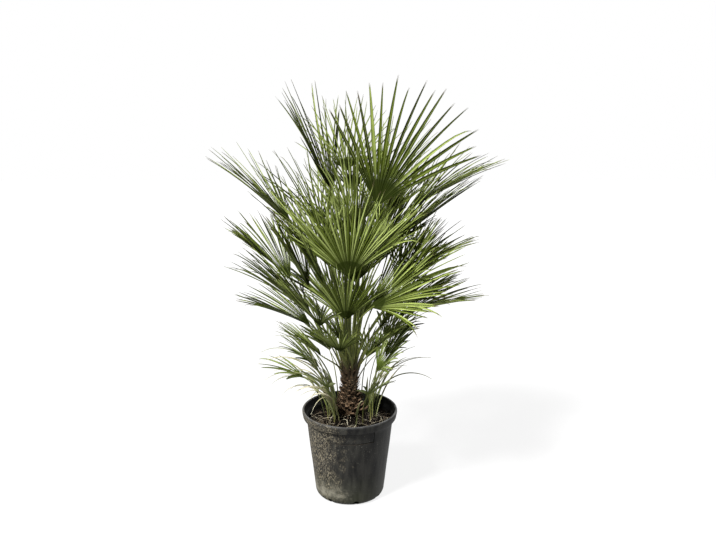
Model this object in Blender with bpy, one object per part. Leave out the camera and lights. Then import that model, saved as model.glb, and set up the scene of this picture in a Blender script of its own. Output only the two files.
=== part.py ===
"""A european fan palm in a round nursery pot, at rest. Metres, +Z up, origin under the pot's centre.

The pot, the soil, the trunk and every leaf are pieces of their own. A leaf is a stalk with a pleated fan at
its end: the fan is whole near its hub and split into stiff pointed segments further out.
"""

import math

import bmesh
import bpy
from mathutils import Quaternion, Vector
from mathutils.bvhtree import BVHTree

# Gap between pieces that touch.
GAP = 0.0003

# Pot
POT_HEIGHT = 0.305
RIM_RADIUS = 0.160
RIM_DEPTH = 0.026
NECK_RADIUS = 0.147
BAND_DROP = 0.046
BAND_STEP = 0.0012
HEEL_RADIUS = 0.1175
HEEL_HEIGHT = 0.025
BASE_RADIUS = 0.100
WALL = 0.0022
FLOOR = 0.0030
POT_SIDES = 40
DRAIN_COUNT = 8
DRAIN_RADIUS = 0.007

# Soil
SOIL_LEVEL = 0.262
MOUND_HEIGHT = 0.040
MOUND_RADIUS = 0.075
SOCKET_RADIUS = 0.043
SOCKET_DEPTH = 0.030

# Trunk: a cone of old leaf bases in tiers, and the radius at each height
TRUNK_RADII = ((0.289, 0.042), (0.311, 0.0385), (0.335, 0.0340), (0.359, 0.0295), (0.384, 0.0260),
               (0.413, 0.0235), (0.443, 0.0215), (0.473, 0.0200), (0.503, 0.0180), (0.520, 0.0150))
TRUNK_FLARE = 0.0025
TRUNK_TOP = 0.530
TRUNK_SIDES = 24
TIER_HEIGHTS = (0.409, 0.439, 0.469, 0.499)
TIER_LEAN = (0.24, 0.20, 0.15, 0.10)

# Leaves
PALMAN = 0.18
WIDEST = 0.42
BLADE_THICKNESS = 0.0015
BLADE_ROOM = 0.004
SEGMENT_WIDTH = 0.030
SHOOT_SEGMENT_WIDTH = 0.045
DROOP = 0.12
SHOOT_DROOP = 0.5
STALK_RADIUS = 0.0042
STALK_TIP_RADIUS = 0.0026
STALK_SIDES = 6
STALK_STEPS = 7
STALK_ROOM = 0.0012

# Segments that would meet another piece bend aside by these angles, upward and sideways.
BENDS = [(0, 0)] + [(up * step, side * step) for step in (4, 8, 12, 16, 20, 26)
                    for up, side in ((1, 0), (-1, 0), (0, 1), (0, -1), (1, 1), (1, -1), (-1, 1), (-1, -1))]
LENGTHS = (1.0, 0.85, 0.7, 0.55, 0.4)

# Main fronds. Name: tier on the trunk, hub x, y, z, heading and rise of the fan's middle, roll about it,
# length, half spread, fold of the two halves, segments. Metres and degrees; a heading of 0 is +X, 90 is +Y.
FRONDS = {
    "frond_crest_right": (3, 0.085, -0.14, 1.03, 45, 62, 30, 0.45, 44, 10, 17),
    "frond_crest_left": (3, -0.055, 0.02, 1.03, 170, 68, -10, 0.42, 44, 20, 15),
    "frond_crest_back": (3, 0.01, 0.15, 1.02, 95, 75, 0, 0.33, 45, 10, 14),
    "frond_upper_left": (2, -0.19, 0.00, 0.94, 180, 45, 0, 0.37, 55, 20, 15),
    "frond_upper_right": (3, 0.21, 0.08, 0.98, 10, 28, 0, 0.36, 45, 28, 14),
    "frond_upper_front": (2, 0.00, -0.16, 0.81, -90, 80, 0, 0.36, 55, 5, 17),
    "frond_heart": (3, 0.02, -0.06, 0.93, -70, 78, 0, 0.34, 40, 15, 14),
    "frond_centre_left": (2, -0.07, -0.10, 0.85, 200, 62, 30, 0.34, 50, 12, 14),
    "frond_centre_right": (2, 0.09, -0.07, 0.86, -10, 58, 30, 0.35, 50, 12, 14),
    "frond_right": (2, 0.16, 0.04, 0.88, 0, 38, 0, 0.36, 45, 28, 14),
    "frond_back_high": (3, 0.10, 0.12, 1.01, 45, 55, 0, 0.33, 45, 20, 13),
    "frond_back_right": (2, 0.10, 0.15, 0.90, 60, 50, 0, 0.35, 45, 20, 13),
    "frond_back_left": (2, -0.10, 0.16, 0.90, 120, 50, 0, 0.35, 45, 20, 13),
    "frond_inner_left": (2, -0.15, 0.06, 0.84, 165, 58, 0, 0.33, 45, 22, 13),
    "frond_left": (1, -0.20, 0.12, 0.72, 155, 38, 0, 0.34, 45, 30, 14),
    "frond_left_steep": (1, -0.13, -0.02, 0.73, 170, 60, 0, 0.31, 40, 30, 13),
    "frond_middle_right": (1, 0.14, 0.01, 0.74, 0, 34, 10, 0.34, 45, 28, 14),
    "frond_front_right": (1, 0.07, -0.16, 0.71, -15, 36, 35, 0.37, 50, 15, 15),
    "frond_front_left": (1, -0.09, -0.19, 0.66, -120, 42, -15, 0.28, 45, 20, 13),
    "frond_centre_low": (1, -0.01, -0.13, 0.66, -95, 68, 0, 0.25, 50, 10, 12),
    "frond_back": (1, 0.03, 0.20, 0.72, 85, 40, 0, 0.35, 50, 20, 13),
    "frond_inner_back": (1, -0.07, 0.11, 0.77, 130, 58, 0, 0.32, 45, 20, 12),
    "frond_inner_right": (1, 0.09, 0.09, 0.79, 40, 52, 0, 0.33, 45, 20, 12),
    "frond_low_left": (0, -0.12, -0.08, 0.66, 195, 40, 0, 0.35, 45, 30, 14),
    "frond_lowest_left": (0, -0.13, 0.05, 0.58, 170, 22, 0, 0.29, 45, 28, 13),
    "frond_lowest_right": (0, 0.16, -0.09, 0.66, -10, 20, 0, 0.30, 45, 28, 14),
    "frond_low_right": (0, 0.14, 0.10, 0.60, 35, 25, 0, 0.31, 45, 25, 12),
    "frond_low_back": (0, -0.05, 0.17, 0.60, 115, 25, 0, 0.33, 45, 25, 12),
    "frond_small_left": (0, -0.09, -0.10, 0.53, 200, 40, 0, 0.20, 50, 18, 10),
    "frond_small_right": (0, 0.09, -0.10, 0.56, -40, 45, 20, 0.20, 50, 18, 11),
    "frond_small_front": (0, -0.03, -0.12, 0.55, -110, 45, 0, 0.19, 50, 15, 10),
    "frond_small_back": (0, 0.03, 0.13, 0.58, 75, 45, 0, 0.22, 50, 15, 10),
    "frond_core_high": (3, -0.01, 0.01, 0.90, 110, 80, 0, 0.33, 50, 8, 15),
    "frond_core_left": (2, -0.06, 0.03, 0.88, 150, 74, 0, 0.33, 50, 12, 14),
    "frond_core_low": (1, 0.02, -0.05, 0.76, -80, 76, 0, 0.30, 50, 10, 13),
    "frond_fill_left": (1, -0.08, -0.10, 0.77, 180, 58, 10, 0.31, 50, 12, 13),
    "frond_fill_right": (1, 0.15, -0.10, 0.75, 10, 64, 10, 0.31, 50, 12, 13),
    "frond_crest_middle": (3, -0.01, 0.06, 1.10, 100, 76, 0, 0.28, 48, 8, 13),
    "frond_low_fill_left": (0, -0.02, -0.10, 0.57, 205, 52, 0, 0.27, 50, 12, 12),
    "frond_low_fill_right": (0, 0.10, -0.04, 0.60, -30, 52, 10, 0.29, 50, 12, 12),
    "frond_right_fill": (0, 0.16, 0.04, 0.69, -10, 44, 0, 0.28, 40, 20, 11),
}

# Fronds of the young offshoots round the trunk: the same, with the x and y of the foot instead of the tier.
OFFSHOOTS = {
    "shoot_left_high": ((-0.060, 0.012), -0.10, 0.00, 0.45, 180, 40, 0, 0.19, 40, 15, 7),
    "shoot_left_low": ((-0.072, -0.030), -0.15, -0.05, 0.435, 190, 30, 0, 0.18, 50, 10, 7),
    "shoot_left_front": ((-0.050, -0.060), -0.07, -0.13, 0.43, 230, 45, 0, 0.15, 45, 10, 6),
    "shoot_right_high": ((0.062, 0.020), 0.12, 0.08, 0.52, 30, 42, 0, 0.21, 55, 15, 9),
    "shoot_right_low": ((0.070, -0.036), 0.09, -0.11, 0.48, 0, 56, 10, 0.23, 60, 15, 11),
    "shoot_right_front": ((0.044, -0.070), 0.06, -0.14, 0.41, -60, 45, 0, 0.14, 45, 10, 6),
    "shoot_back_left": ((-0.040, 0.068), -0.07, 0.14, 0.46, 120, 45, 0, 0.18, 45, 15, 7),
    "shoot_back_right": ((0.040, 0.070), 0.06, 0.15, 0.43, 65, 40, 0, 0.17, 45, 15, 7),
    "shoot_right_middle": ((0.076, -0.010), 0.12, -0.03, 0.50, 15, 58, 0, 0.20, 50, 15, 9),
    "shoot_left_middle": ((-0.066, -0.010), -0.10, -0.06, 0.46, 190, 52, 0, 0.20, 45, 15, 8),
}

# Leaves with no fan: foot x and y, length, heading, lean at the foot and at the tip, width.
STRAPS = {
    "strap_leaf_left": ((-0.084, 0.010), 0.26, 170, 12, 80, 0.009),
    "strap_leaf_right": ((0.088, -0.006), 0.22, 15, 10, 60, 0.009),
    "strap_leaf_front": ((0.020, -0.088), 0.17, -75, 10, 75, 0.008),
    "curled_leaf_upper": ((-0.046, -0.040), 0.25, 215, 8, 125, 0.011),
    "curled_leaf_lower": ((-0.034, -0.052), 0.22, 225, 10, 120, 0.011),
}
STRAP_STEPS = 8

# Unopened leaf at the heart of the crown
SPEAR_BASE = TRUNK_TOP + GAP
SPEAR_TOP = (0.012, -0.010, 1.10)
SPEAR_RADIUS = 0.0055

UP = Vector((0, 0, 1))


def new_material(name, colour, roughness):
    material = bpy.data.materials.new(name)
    material.use_nodes = True
    shader = material.node_tree.nodes["Principled BSDF"]
    shader.inputs["Base Color"].default_value = (*colour, 1)
    shader.inputs["Roughness"].default_value = roughness
    return material


def add_object(name, form, material):
    """Turns a bmesh into a named object, with its faces pointing out."""
    bmesh.ops.recalc_face_normals(form, faces=form.faces)
    mesh = bpy.data.meshes.new(name)
    form.to_mesh(mesh)
    form.free()
    obj = bpy.data.objects.new(name, mesh)
    bpy.context.scene.collection.objects.link(obj)
    mesh.materials.append(material)
    return obj


def turned(profile, sides):
    """A closed outline of radius and height, spun a full turn about Z."""
    form = bmesh.new()
    points = [form.verts.new((radius, 0, height)) for radius, height in profile]
    edges = [form.edges.new(pair) for pair in zip(points, points[1:] + points[:1])
             if pair[0].co.x > 0 or pair[1].co.x > 0]
    bmesh.ops.spin(form, geom=points + edges, cent=(0, 0, 0), axis=(0, 0, 1), angle=math.tau,
                   steps=sides, use_merge=True)
    bmesh.ops.remove_doubles(form, verts=form.verts, dist=0.00001)
    return form


def boolean(obj, cutter, operation):
    modifier = obj.modifiers.new(operation.title(), "BOOLEAN")
    modifier.operation = operation
    modifier.solver = "EXACT"
    modifier.object = cutter
    cutter.hide_render = True
    cutter.display_type = "WIRE"


def wall_radius(height):
    """Outer radius of the pot's plain wall, from the heel up to the neck."""
    share = (height - HEEL_HEIGHT) / (POT_HEIGHT - RIM_DEPTH - HEEL_HEIGHT)
    return HEEL_RADIUS + (NECK_RADIUS - HEEL_RADIUS) * share


def heel(depth):
    """The rounded lower edge of the pot, or the same curve at a depth inside its skin."""
    turns = [math.radians(30 * step) for step in range(4)]
    return [(BASE_RADIUS + (HEEL_RADIUS - BASE_RADIUS) * math.sin(turn) - depth * math.sin(turn),
             HEEL_HEIGHT * (1 - math.cos(turn)) + depth * math.cos(turn)) for turn in turns]


def pot_profile():
    """The pot's section: up the outside, over the rolled rim and down the inside."""
    lip = POT_HEIGHT - RIM_DEPTH
    band = lip - BAND_DROP + RIM_DEPTH
    roll = 0.004
    outside = heel(0) + [(wall_radius(band), band), (wall_radius(band) + BAND_STEP, band + BAND_STEP),
                      (NECK_RADIUS + BAND_STEP, lip - 0.002), (RIM_RADIUS - 0.003, lip),
                      (RIM_RADIUS, lip + 0.003), (RIM_RADIUS, POT_HEIGHT - roll),
                      (RIM_RADIUS - 0.0012, POT_HEIGHT - 0.0012), (RIM_RADIUS - roll, POT_HEIGHT)]
    neck = (NECK_RADIUS + BAND_STEP - WALL, lip - 0.002)
    inside = [(RIM_RADIUS - roll - 0.004, POT_HEIGHT), (neck[0] + 0.004, lip + 0.002), neck]
    return outside + inside + heel(WALL)[:0:-1] + [(BASE_RADIUS, FLOOR), (0, FLOOR), (0, 0)]


def add_pot():
    pot = add_object("pot", turned(pot_profile(), POT_SIDES), new_material("pot_plastic", (0.03, 0.03, 0.032), 0.5))
    drains = bmesh.new()
    for index in range(DRAIN_COUNT):
        hole = bmesh.ops.create_cone(drains, cap_ends=True, segments=10, radius1=DRAIN_RADIUS,
                                     radius2=DRAIN_RADIUS, depth=0.05)["verts"]
        turn = math.tau * (index + 0.25) / DRAIN_COUNT
        outward = Vector((math.cos(turn), math.sin(turn), 0))
        bmesh.ops.rotate(drains, verts=hole, cent=(0, 0, 0),
                         matrix=UP.rotation_difference(outward - UP).to_matrix())
        bmesh.ops.translate(drains, verts=hole, vec=outward * (HEEL_RADIUS - 0.006) + UP * 0.007)
    cutter = add_object("drain_cutter", drains, new_material("cutter", (1, 0, 0), 1))
    boolean(pot, cutter, "DIFFERENCE")
    return pot


def soil_height(radius):
    return SOIL_LEVEL + MOUND_HEIGHT * math.exp(-(radius / MOUND_RADIUS) ** 2)


def add_soil():
    floor = FLOOR + GAP
    low = HEEL_HEIGHT + 0.002
    outside = [(BASE_RADIUS - WALL - 0.004, floor), (HEEL_RADIUS - WALL - 0.008, floor + 0.008),
               (wall_radius(low) - WALL - GAP - 0.0005, low),
               (wall_radius(SOIL_LEVEL) - WALL - 0.0005, SOIL_LEVEL)]
    top = [(radius, soil_height(radius)) for radius in (0.120, 0.100, 0.085, 0.072, 0.060, 0.050, SOCKET_RADIUS)]
    pit = soil_height(SOCKET_RADIUS) - SOCKET_DEPTH
    profile = outside + top + [(SOCKET_RADIUS, pit), (0, pit), (0, floor)]
    return add_object("soil", turned(profile, POT_SIDES), new_material("soil_mix", (0.06, 0.045, 0.035), 0.95))


def trunk_radius(height):
    for (low, wide), (high, narrow) in zip(TRUNK_RADII, TRUNK_RADII[1:]):
        if height <= high:
            return wide + (narrow - wide) * (height - low) / (high - low)
    return TRUNK_RADII[-1][1]


def add_trunk():
    """Tiers of leaf bases, each flaring to its top and stepping back in."""
    foot = soil_height(SOCKET_RADIUS) - SOCKET_DEPTH + GAP
    profile = [(0, foot), (SOCKET_RADIUS - 0.006, foot)]
    for height, radius in TRUNK_RADII:
        profile += [(radius, height), (radius - TRUNK_FLARE, height + 0.004)]
    profile += [(0.008, TRUNK_TOP - 0.001), (0, TRUNK_TOP)]
    return add_object("trunk", turned(profile, TRUNK_SIDES), new_material("trunk_fibre", (0.16, 0.10, 0.06), 0.9))


def polar(heading, rise=0.0):
    turn, lift = math.radians(heading), math.radians(rise)
    return Vector((math.cos(lift) * math.cos(turn), math.cos(lift) * math.sin(turn), math.sin(lift)))


def curve_point(ends, share):
    """A point of the cubic curve through two ends with two handles."""
    a, b, c, d = ends
    rest = 1 - share
    return a * rest ** 3 + b * 3 * rest ** 2 * share + c * 3 * rest * share ** 2 + d * share ** 3


def stalk_curve(foot, lean, hub, middle):
    """The stalk leaves its foot along lean and runs into the fan along the fan's middle."""
    reach = (hub - foot).length
    return foot, foot + lean * reach * 0.4, hub - middle * reach * 0.3, hub + middle * 0.012


def trunk_foot(tier, heading):
    """Where a stalk stands against the trunk, just clear of it."""
    height = TIER_HEIGHTS[tier]
    return polar(heading) * (trunk_radius(height) + STALK_RADIUS + GAP) + UP * height


def stalk_tube(curve, room=0.0):
    return tube(curve, STALK_RADIUS + room, STALK_TIP_RADIUS + room, STALK_SIDES, STALK_STEPS)


def clear_of_stalks(curve, stalks):
    wide = mesh_part(stalk_tube(curve, STALK_ROOM))
    return not stalks or not merged_tree(stalks).overlap(merged_tree([wide]))


def place_stalks():
    """Curves of all stalks, each foot turned round the trunk until its stalk is clear of the earlier ones."""
    curves, stalks = {}, []
    for name, (tier, x, y, z, heading, rise, *_) in FRONDS.items():
        hub = Vector((x, y, z))
        toward = math.degrees(math.atan2(y, x))
        for turn in [side * step for step in range(0, 100, 10) for side in (1, -1)]:
            foot = trunk_foot(tier, toward + turn)
            lean = (UP + polar(toward + turn) * TIER_LEAN[tier]).normalized()
            curves[name] = stalk_curve(foot, lean, hub, polar(heading, rise))
            if clear_of_stalks(curves[name], stalks):
                break
        else:
            print("no clear foot for", name)
        stalks.append(mesh_part(stalk_tube(curves[name])))
    for name, (foot, x, y, z, heading, rise, *_) in OFFSHOOTS.items():
        start = Vector((*foot, soil_height(math.hypot(*foot) - STALK_RADIUS) + GAP * 2))
        curves[name] = stalk_curve(start, UP, Vector((x, y, z)), polar(heading, rise))
        if not clear_of_stalks(curves[name], stalks):
            print("the stalk of", name, "meets another")
        stalks.append(mesh_part(stalk_tube(curves[name])))
    return curves


def tube(curve, start_radius, end_radius, sides, steps):
    """A closed tube along a curve, with one edge of its section facing the trunk at the foot."""
    form = bmesh.new()
    inward = Vector((-curve[0].x, -curve[0].y, 0)) if curve[0].xy.length > 0 else Vector((1, 0, 0))
    rings = []
    for step in range(steps + 1):
        share = step / steps
        point = curve_point(curve, share)
        along = (curve_point(curve, min(share + 0.02, 1)) - curve_point(curve, max(share - 0.02, 0))).normalized()
        inward = (inward - along * inward.dot(along)).normalized()
        radius = start_radius + (end_radius - start_radius) * share
        ring = [form.verts.new(point + Quaternion(along, math.tau * side / sides) @ inward * radius)
                for side in range(sides)]
        if rings:
            for side in range(sides):
                after = (side + 1) % sides
                form.faces.new((rings[-1][side], rings[-1][after], ring[after], ring[side]))
        rings.append(ring)
    form.faces.new(rings[0])
    form.faces.new(rings[-1])
    return form


def fan_axes(heading, rise, roll):
    """The fan's middle direction, its side and the way its upper face looks."""
    middle = polar(heading, rise)
    level = middle.cross(UP.cross(middle)).normalized()
    upper = Quaternion(middle, math.radians(roll)) @ level
    return middle, middle.cross(upper), upper


class Segment:
    """One pointed segment of a fan: where it runs, how long and wide it is, and how far it bends aside."""

    def __init__(self, hub, axes, angle, fold, length, width, root_width, droop):
        middle, side, upper = axes
        turn, lift = math.radians(angle), math.radians(fold)
        sideways = side * math.copysign(math.cos(lift), turn) + upper * math.sin(lift)
        self.hub = hub
        self.along = middle * math.cos(turn) + sideways * abs(math.sin(turn))
        self.across = (side * math.cos(turn) - middle * math.sin(turn)).normalized()
        self.across = (self.across - self.along * self.across.dot(self.along)).normalized()
        self.upper = self.across.cross(self.along)
        if self.upper.dot(upper) < 0:
            self.upper.negate()
        self.length, self.width, self.root_width, self.droop = length, width, root_width, droop
        self.bend = Vector((0, 0, 0))

    def point(self, share):
        """The midrib at a share of the length: straight within the palman, then bending aside and drooping."""
        free = max(0.0, share - PALMAN)
        reach = self.along * share + self.bend * free - UP * self.droop * free ** 2
        return self.hub + reach * self.length

    def plate(self, start, share, thickness):
        """A thin closed plate along the free part of the segment, to test whether its way is clear."""
        rows = ((start, self.root_width * share), (WIDEST, self.width * share), (0.97, self.width * 0.15))
        points = [self.point(share) + self.across * reach * side + self.upper * thickness * face
                  for share, reach in rows for side in (-0.5, 0.5) for face in (-0.5, 0.5)]
        faces = [(0, 1, 3, 2), (8, 9, 11, 10)]
        for low in (0, 4):
            ring = (low, low + 1, low + 3, low + 2)
            faces += [(ring[i], ring[(i + 1) % 4], ring[(i + 1) % 4] + 4, ring[i] + 4) for i in range(4)]
        return points, faces


def merged_tree(parts):
    points, faces = [], []
    for part_points, part_faces in parts:
        start = len(points)
        points += part_points
        faces += [tuple(index + start for index in face) for face in part_faces]
    return BVHTree.FromPolygons(points, faces)


def mesh_part(form):
    form.verts.index_update()
    return [vert.co.copy() for vert in form.verts], [tuple(v.index for v in face.verts) for face in form.faces]


def fan_segments(hub, heading, rise, roll, length, half, fold, count, width, droop):
    axes = fan_axes(heading, rise, roll)
    root_width = PALMAN * length * math.radians(2 * half / (count - 1))
    segments = []
    for index in range(count):
        angle = half * (2 * index / (count - 1) - 1)
        reach = length * (1 - 0.2 * (angle / half) ** 2) * (1 - 0.05 * (index % 2))
        segments.append(Segment(hub, axes, angle, fold, reach, width * length, root_width, droop))
    return segments


def palman_faces(segments, hub, length):
    """Both faces of the undivided part of the fan, a little apart, to test whether its place is clear."""
    parts = []
    splits = notches(segments, hub, length)
    for segment, left, right in zip(segments, splits, splits[1:]):
        for face in (-0.5, 0.5):
            shift = segment.upper * BLADE_ROOM * face
            parts.append(([hub + shift, left + shift, right + shift], [(0, 1, 2)]))
    return parts


def settle(segments, tree, hub, length, name):
    """Bends or shortens each segment until it is clear of everything in the tree and of its own neighbours."""
    if tree.overlap(merged_tree(palman_faces(segments, hub, length))):
        print("the palman of", name, "meets another piece")
    own = []
    for index, segment in enumerate(segments):
        full = segment.length
        for shorter in LENGTHS:
            segment.length = full * shorter
            for lift, swing in BENDS:
                segment.bend = segment.upper * math.tan(math.radians(lift)) + segment.across * math.tan(
                    math.radians(swing))
                wide = merged_tree([segment.plate(PALMAN, 1.15, BLADE_ROOM)])
                narrow = merged_tree([segment.plate(PALMAN + 0.1, 0.9, BLADE_ROOM / 2)])
                if not tree.overlap(wide) and not (own and merged_tree(own).overlap(narrow)):
                    break
            else:
                continue
            break
        else:
            print("no clear way for segment", index, "of", name)
        own.append(segment.plate(PALMAN + 0.1, 0.9, BLADE_ROOM / 2))


def notches(segments, hub, length):
    """Points where the fan splits, one between each two segments and one at each end."""
    rims = [segment.point(PALMAN * length / segment.length) for segment in segments]
    first = rims[0] + (rims[0] - rims[1]) * 0.5
    last = rims[-1] + (rims[-1] - rims[-2]) * 0.5
    return [first] + [(a + b) / 2 for a, b in zip(rims, rims[1:])] + [last]


def fan_sheet(segments, hub, length):
    """The fan as one thin sheet: a whole palman round the hub and a pointed blade for each segment."""
    form = bmesh.new()
    centre = form.verts.new(hub)
    splits = [form.verts.new(point) for point in notches(segments, hub, length)]
    for segment, left, right in zip(segments, splits, splits[1:]):
        form.faces.new((centre, left, right))
        widest = segment.point(WIDEST)
        half = segment.across * segment.width / 2
        sides = [form.verts.new(widest - half), form.verts.new(widest + half)]
        if (sides[0].co - left.co).length > (sides[1].co - left.co).length:
            sides.reverse()
        tip = form.verts.new(segment.point(1))
        form.faces.new((left, sides[0], sides[1], right))
        form.faces.new((sides[0], tip, sides[1]))
    return form


def add_leaf(name, curve, sheet, material):
    """A fan leaf: the thickened sheet and its stalk, joined into one body."""
    leaf = add_object(name, sheet, material)
    solid = leaf.modifiers.new("Thickness", "SOLIDIFY")
    solid.thickness = BLADE_THICKNESS
    solid.offset = 0
    stalk = add_object(name + "_stalk", stalk_tube(curve), material)
    boolean(leaf, stalk, "UNION")
    return leaf


def add_leaves(placed):
    curves = place_stalks()
    stalks = {name: mesh_part(stalk_tube(curve))
              for name, curve in curves.items()}
    green = new_material("leaf_green", (0.17, 0.22, 0.09), 0.5)
    for name, (_, x, y, z, heading, rise, roll, length, half, fold, count) in {**FRONDS, **OFFSHOOTS}.items():
        hub = Vector((x, y, z))
        width, droop = (SEGMENT_WIDTH, DROOP) if name in FRONDS else (SHOOT_SEGMENT_WIDTH, SHOOT_DROOP)
        segments = fan_segments(hub, heading, rise, roll, length, half, fold, count, width, droop)
        others = [stalk for owner, stalk in stalks.items() if owner != name]
        settle(segments, merged_tree(placed + others), hub, length, name)
        sheet = fan_sheet(segments, hub, length)
        placed.append(mesh_part(sheet))
        add_leaf(name, curves[name], sheet, green)
    placed += stalks.values()


def add_straps(placed):
    """Single narrow leaves: a ribbon that stands up from the soil and curls over."""
    tan = new_material("dry_leaf", (0.45, 0.40, 0.26), 0.7)
    for name, (foot, length, heading, lean, end, width) in STRAPS.items():
        form = bmesh.new()
        point = Vector((*foot, soil_height(math.hypot(*foot)) + GAP * 3))
        across = polar(heading + 90)
        rows = []
        for step in range(STRAP_STEPS + 1):
            share = step / STRAP_STEPS
            half = across * width / 2 * max(0.12, math.sin(math.pi * (0.18 + 0.8 * share)))
            rows.append((form.verts.new(point - half), form.verts.new(point + half)))
            angle = math.radians(lean + (end - lean) * share ** 1.5)
            point = point + (polar(heading) * math.sin(angle) + UP * math.cos(angle)) * length / STRAP_STEPS
        for low, high in zip(rows, rows[1:]):
            form.faces.new((*low, *reversed(high)))
        tree = merged_tree(placed)
        if tree.overlap(merged_tree([mesh_part(form)])):
            print(name, "meets another piece")
        placed.append(mesh_part(form))
        strap = add_object(name, form, tan)
        solid = strap.modifiers.new("Thickness", "SOLIDIFY")
        solid.thickness = BLADE_THICKNESS
        solid.offset = 0


def add_spear(placed):
    top = Vector(SPEAR_TOP)
    base = Vector((0, 0, SPEAR_BASE))
    curve = (base, base + UP * 0.2, top - UP * 0.2, top)
    form = tube(curve, SPEAR_RADIUS, 0.0012, STALK_SIDES, STALK_STEPS)
    placed.append(mesh_part(form))
    add_object("spear_leaf", form, new_material("spear_green", (0.35, 0.40, 0.18), 0.5))


def main():
    for obj in list(bpy.data.objects):
        bpy.data.objects.remove(obj)
    solids = [add_pot(), add_soil(), add_trunk()]
    placed = []
    for obj in solids:
        mesh = obj.data
        placed.append(([vert.co.copy() for vert in mesh.vertices], [tuple(face.vertices) for face in mesh.polygons]))
    add_spear(placed)
    add_leaves(placed)
    add_straps(placed)


main()
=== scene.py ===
# %% [markdown]
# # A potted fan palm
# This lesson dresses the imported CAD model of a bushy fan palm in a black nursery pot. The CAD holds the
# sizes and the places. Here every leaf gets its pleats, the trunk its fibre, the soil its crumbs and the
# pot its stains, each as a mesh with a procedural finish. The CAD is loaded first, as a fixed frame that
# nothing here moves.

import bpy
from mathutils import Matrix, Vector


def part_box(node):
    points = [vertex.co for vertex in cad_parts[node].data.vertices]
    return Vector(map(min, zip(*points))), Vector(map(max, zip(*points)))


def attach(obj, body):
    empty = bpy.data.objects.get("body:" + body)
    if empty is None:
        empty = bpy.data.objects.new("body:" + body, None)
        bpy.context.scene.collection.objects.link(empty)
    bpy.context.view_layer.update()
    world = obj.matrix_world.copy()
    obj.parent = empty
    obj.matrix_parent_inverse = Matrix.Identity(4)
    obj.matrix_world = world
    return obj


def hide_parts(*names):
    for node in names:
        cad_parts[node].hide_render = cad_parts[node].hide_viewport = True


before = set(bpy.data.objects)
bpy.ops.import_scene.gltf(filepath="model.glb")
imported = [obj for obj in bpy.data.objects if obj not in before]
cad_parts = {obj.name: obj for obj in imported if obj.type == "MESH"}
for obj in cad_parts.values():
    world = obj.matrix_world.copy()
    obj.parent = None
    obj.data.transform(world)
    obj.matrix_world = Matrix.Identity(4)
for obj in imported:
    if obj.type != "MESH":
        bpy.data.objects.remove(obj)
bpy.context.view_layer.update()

# %% [markdown]
# ## Tools and chance
# Meshes are made with bmesh, Blender's mesh editor for scripts, and placed with vectors and matrices. A
# plant is never quite regular, so many small sizes are drawn by chance. All come from one generator with a
# fixed seed, so every run grows the same plant.

# %% Modules and the seed
import math
import random

import bmesh
import bpy
from mathutils import Matrix, Vector, noise
from mathutils.kdtree import KDTree

UP = Vector((0, 0, 1))
chance = random.Random(7)
scene = bpy.context.scene
print("nodes in the frame:", len(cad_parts))

# %% [markdown]
# ## Camera
# The plant is looked at from a little above its crown, from three metres away, so both the soil in the pot
# and the faces of the upper leaves show. The lens is a short telephoto, which keeps the pot round and the
# leaves in proportion.

# %% Camera
EYE = (0.028, -3.0, 1.615)
LOOKING_DOWN = 15.42
camera_data = bpy.data.cameras.new("camera")
camera_data.lens = 48.3
camera = bpy.data.objects.new("camera", camera_data)
camera.location = EYE
camera.rotation_euler = (math.radians(90 - LOOKING_DOWN), 0, 0)
scene.collection.objects.link(camera)
scene.camera = camera
print("camera at", EYE, "looking", LOOKING_DOWN, "degrees down")

# %% [markdown]
# ## Helpers for finishes
# A finish is a small network of nodes. A few short helpers keep each recipe readable. These make a finish,
# feed a socket with a link or a fixed value, and add a node. A socket knows the network it belongs to, so
# most helpers need only the value that they work on.


# %% Nodes and links
def fill(socket, value):
    """Links a socket to another, or sets its number or colour."""
    if isinstance(value, bpy.types.NodeSocket):
        socket.id_data.links.new(value, socket)
    elif value is not None:
        socket.default_value = value


def add_node(tree, kind, inputs=(), **settings):
    """Adds a shader node, with its settings and the values or links of its first inputs."""
    node = tree.nodes.new("ShaderNode" + kind)
    for key, value in settings.items():
        setattr(node, key, value)
    for socket, value in zip(node.inputs, inputs):
        fill(socket, value)
    return node


def shade(finish, socket, value):
    """Sets or links a socket of the finish's own shader."""
    fill(finish.node_tree.nodes["Principled BSDF"].inputs[socket], value)


def new_finish(name, roughness, gloss=0.5):
    """A finish with its roughness, and gloss from 0 for chalky to 0.5 for plain plastic."""
    finish = bpy.data.materials.new(name)
    finish.use_nodes = True
    shade(finish, "Roughness", roughness)
    shade(finish, "Specular IOR Level", gloss)
    return finish


print("node helpers ready")

# %% [markdown]
# ## Colours and patterns
# Colours are worked out from three sources: soft noise, the height or side on the object, and values that
# the mesh carries. Math nodes combine them, ramps turn them into colours or masks, and mixes lay one colour
# over another. Noise reads the object's own coordinates, so a pattern stays put when the camera moves.


# %% Colours and patterns
def maths(operation, first, *others):
    """The result of one math node."""
    return add_node(first.id_data, "Math", (first, *others), operation=operation).outputs[0]


def times(first, second):
    return maths("MULTIPLY", first, second)


def plus(first, second):
    return maths("ADD", first, second)


def mixed(share, first, second, blend="MIX"):
    """A colour between two others, or one laid over another."""
    node = add_node(first.id_data, "Mix", (share,), data_type="RGBA", blend_type=blend)
    for socket, colour in ((node.inputs[6], first), (node.inputs[7], second)):
        fill(socket, (*colour, 1) if isinstance(colour, tuple) else colour)
    return node.outputs[2]


def tinted(first, second):
    """Two colours multiplied, as a tint over a skin."""
    return mixed(1.0, first, second, "MULTIPLY")


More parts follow.
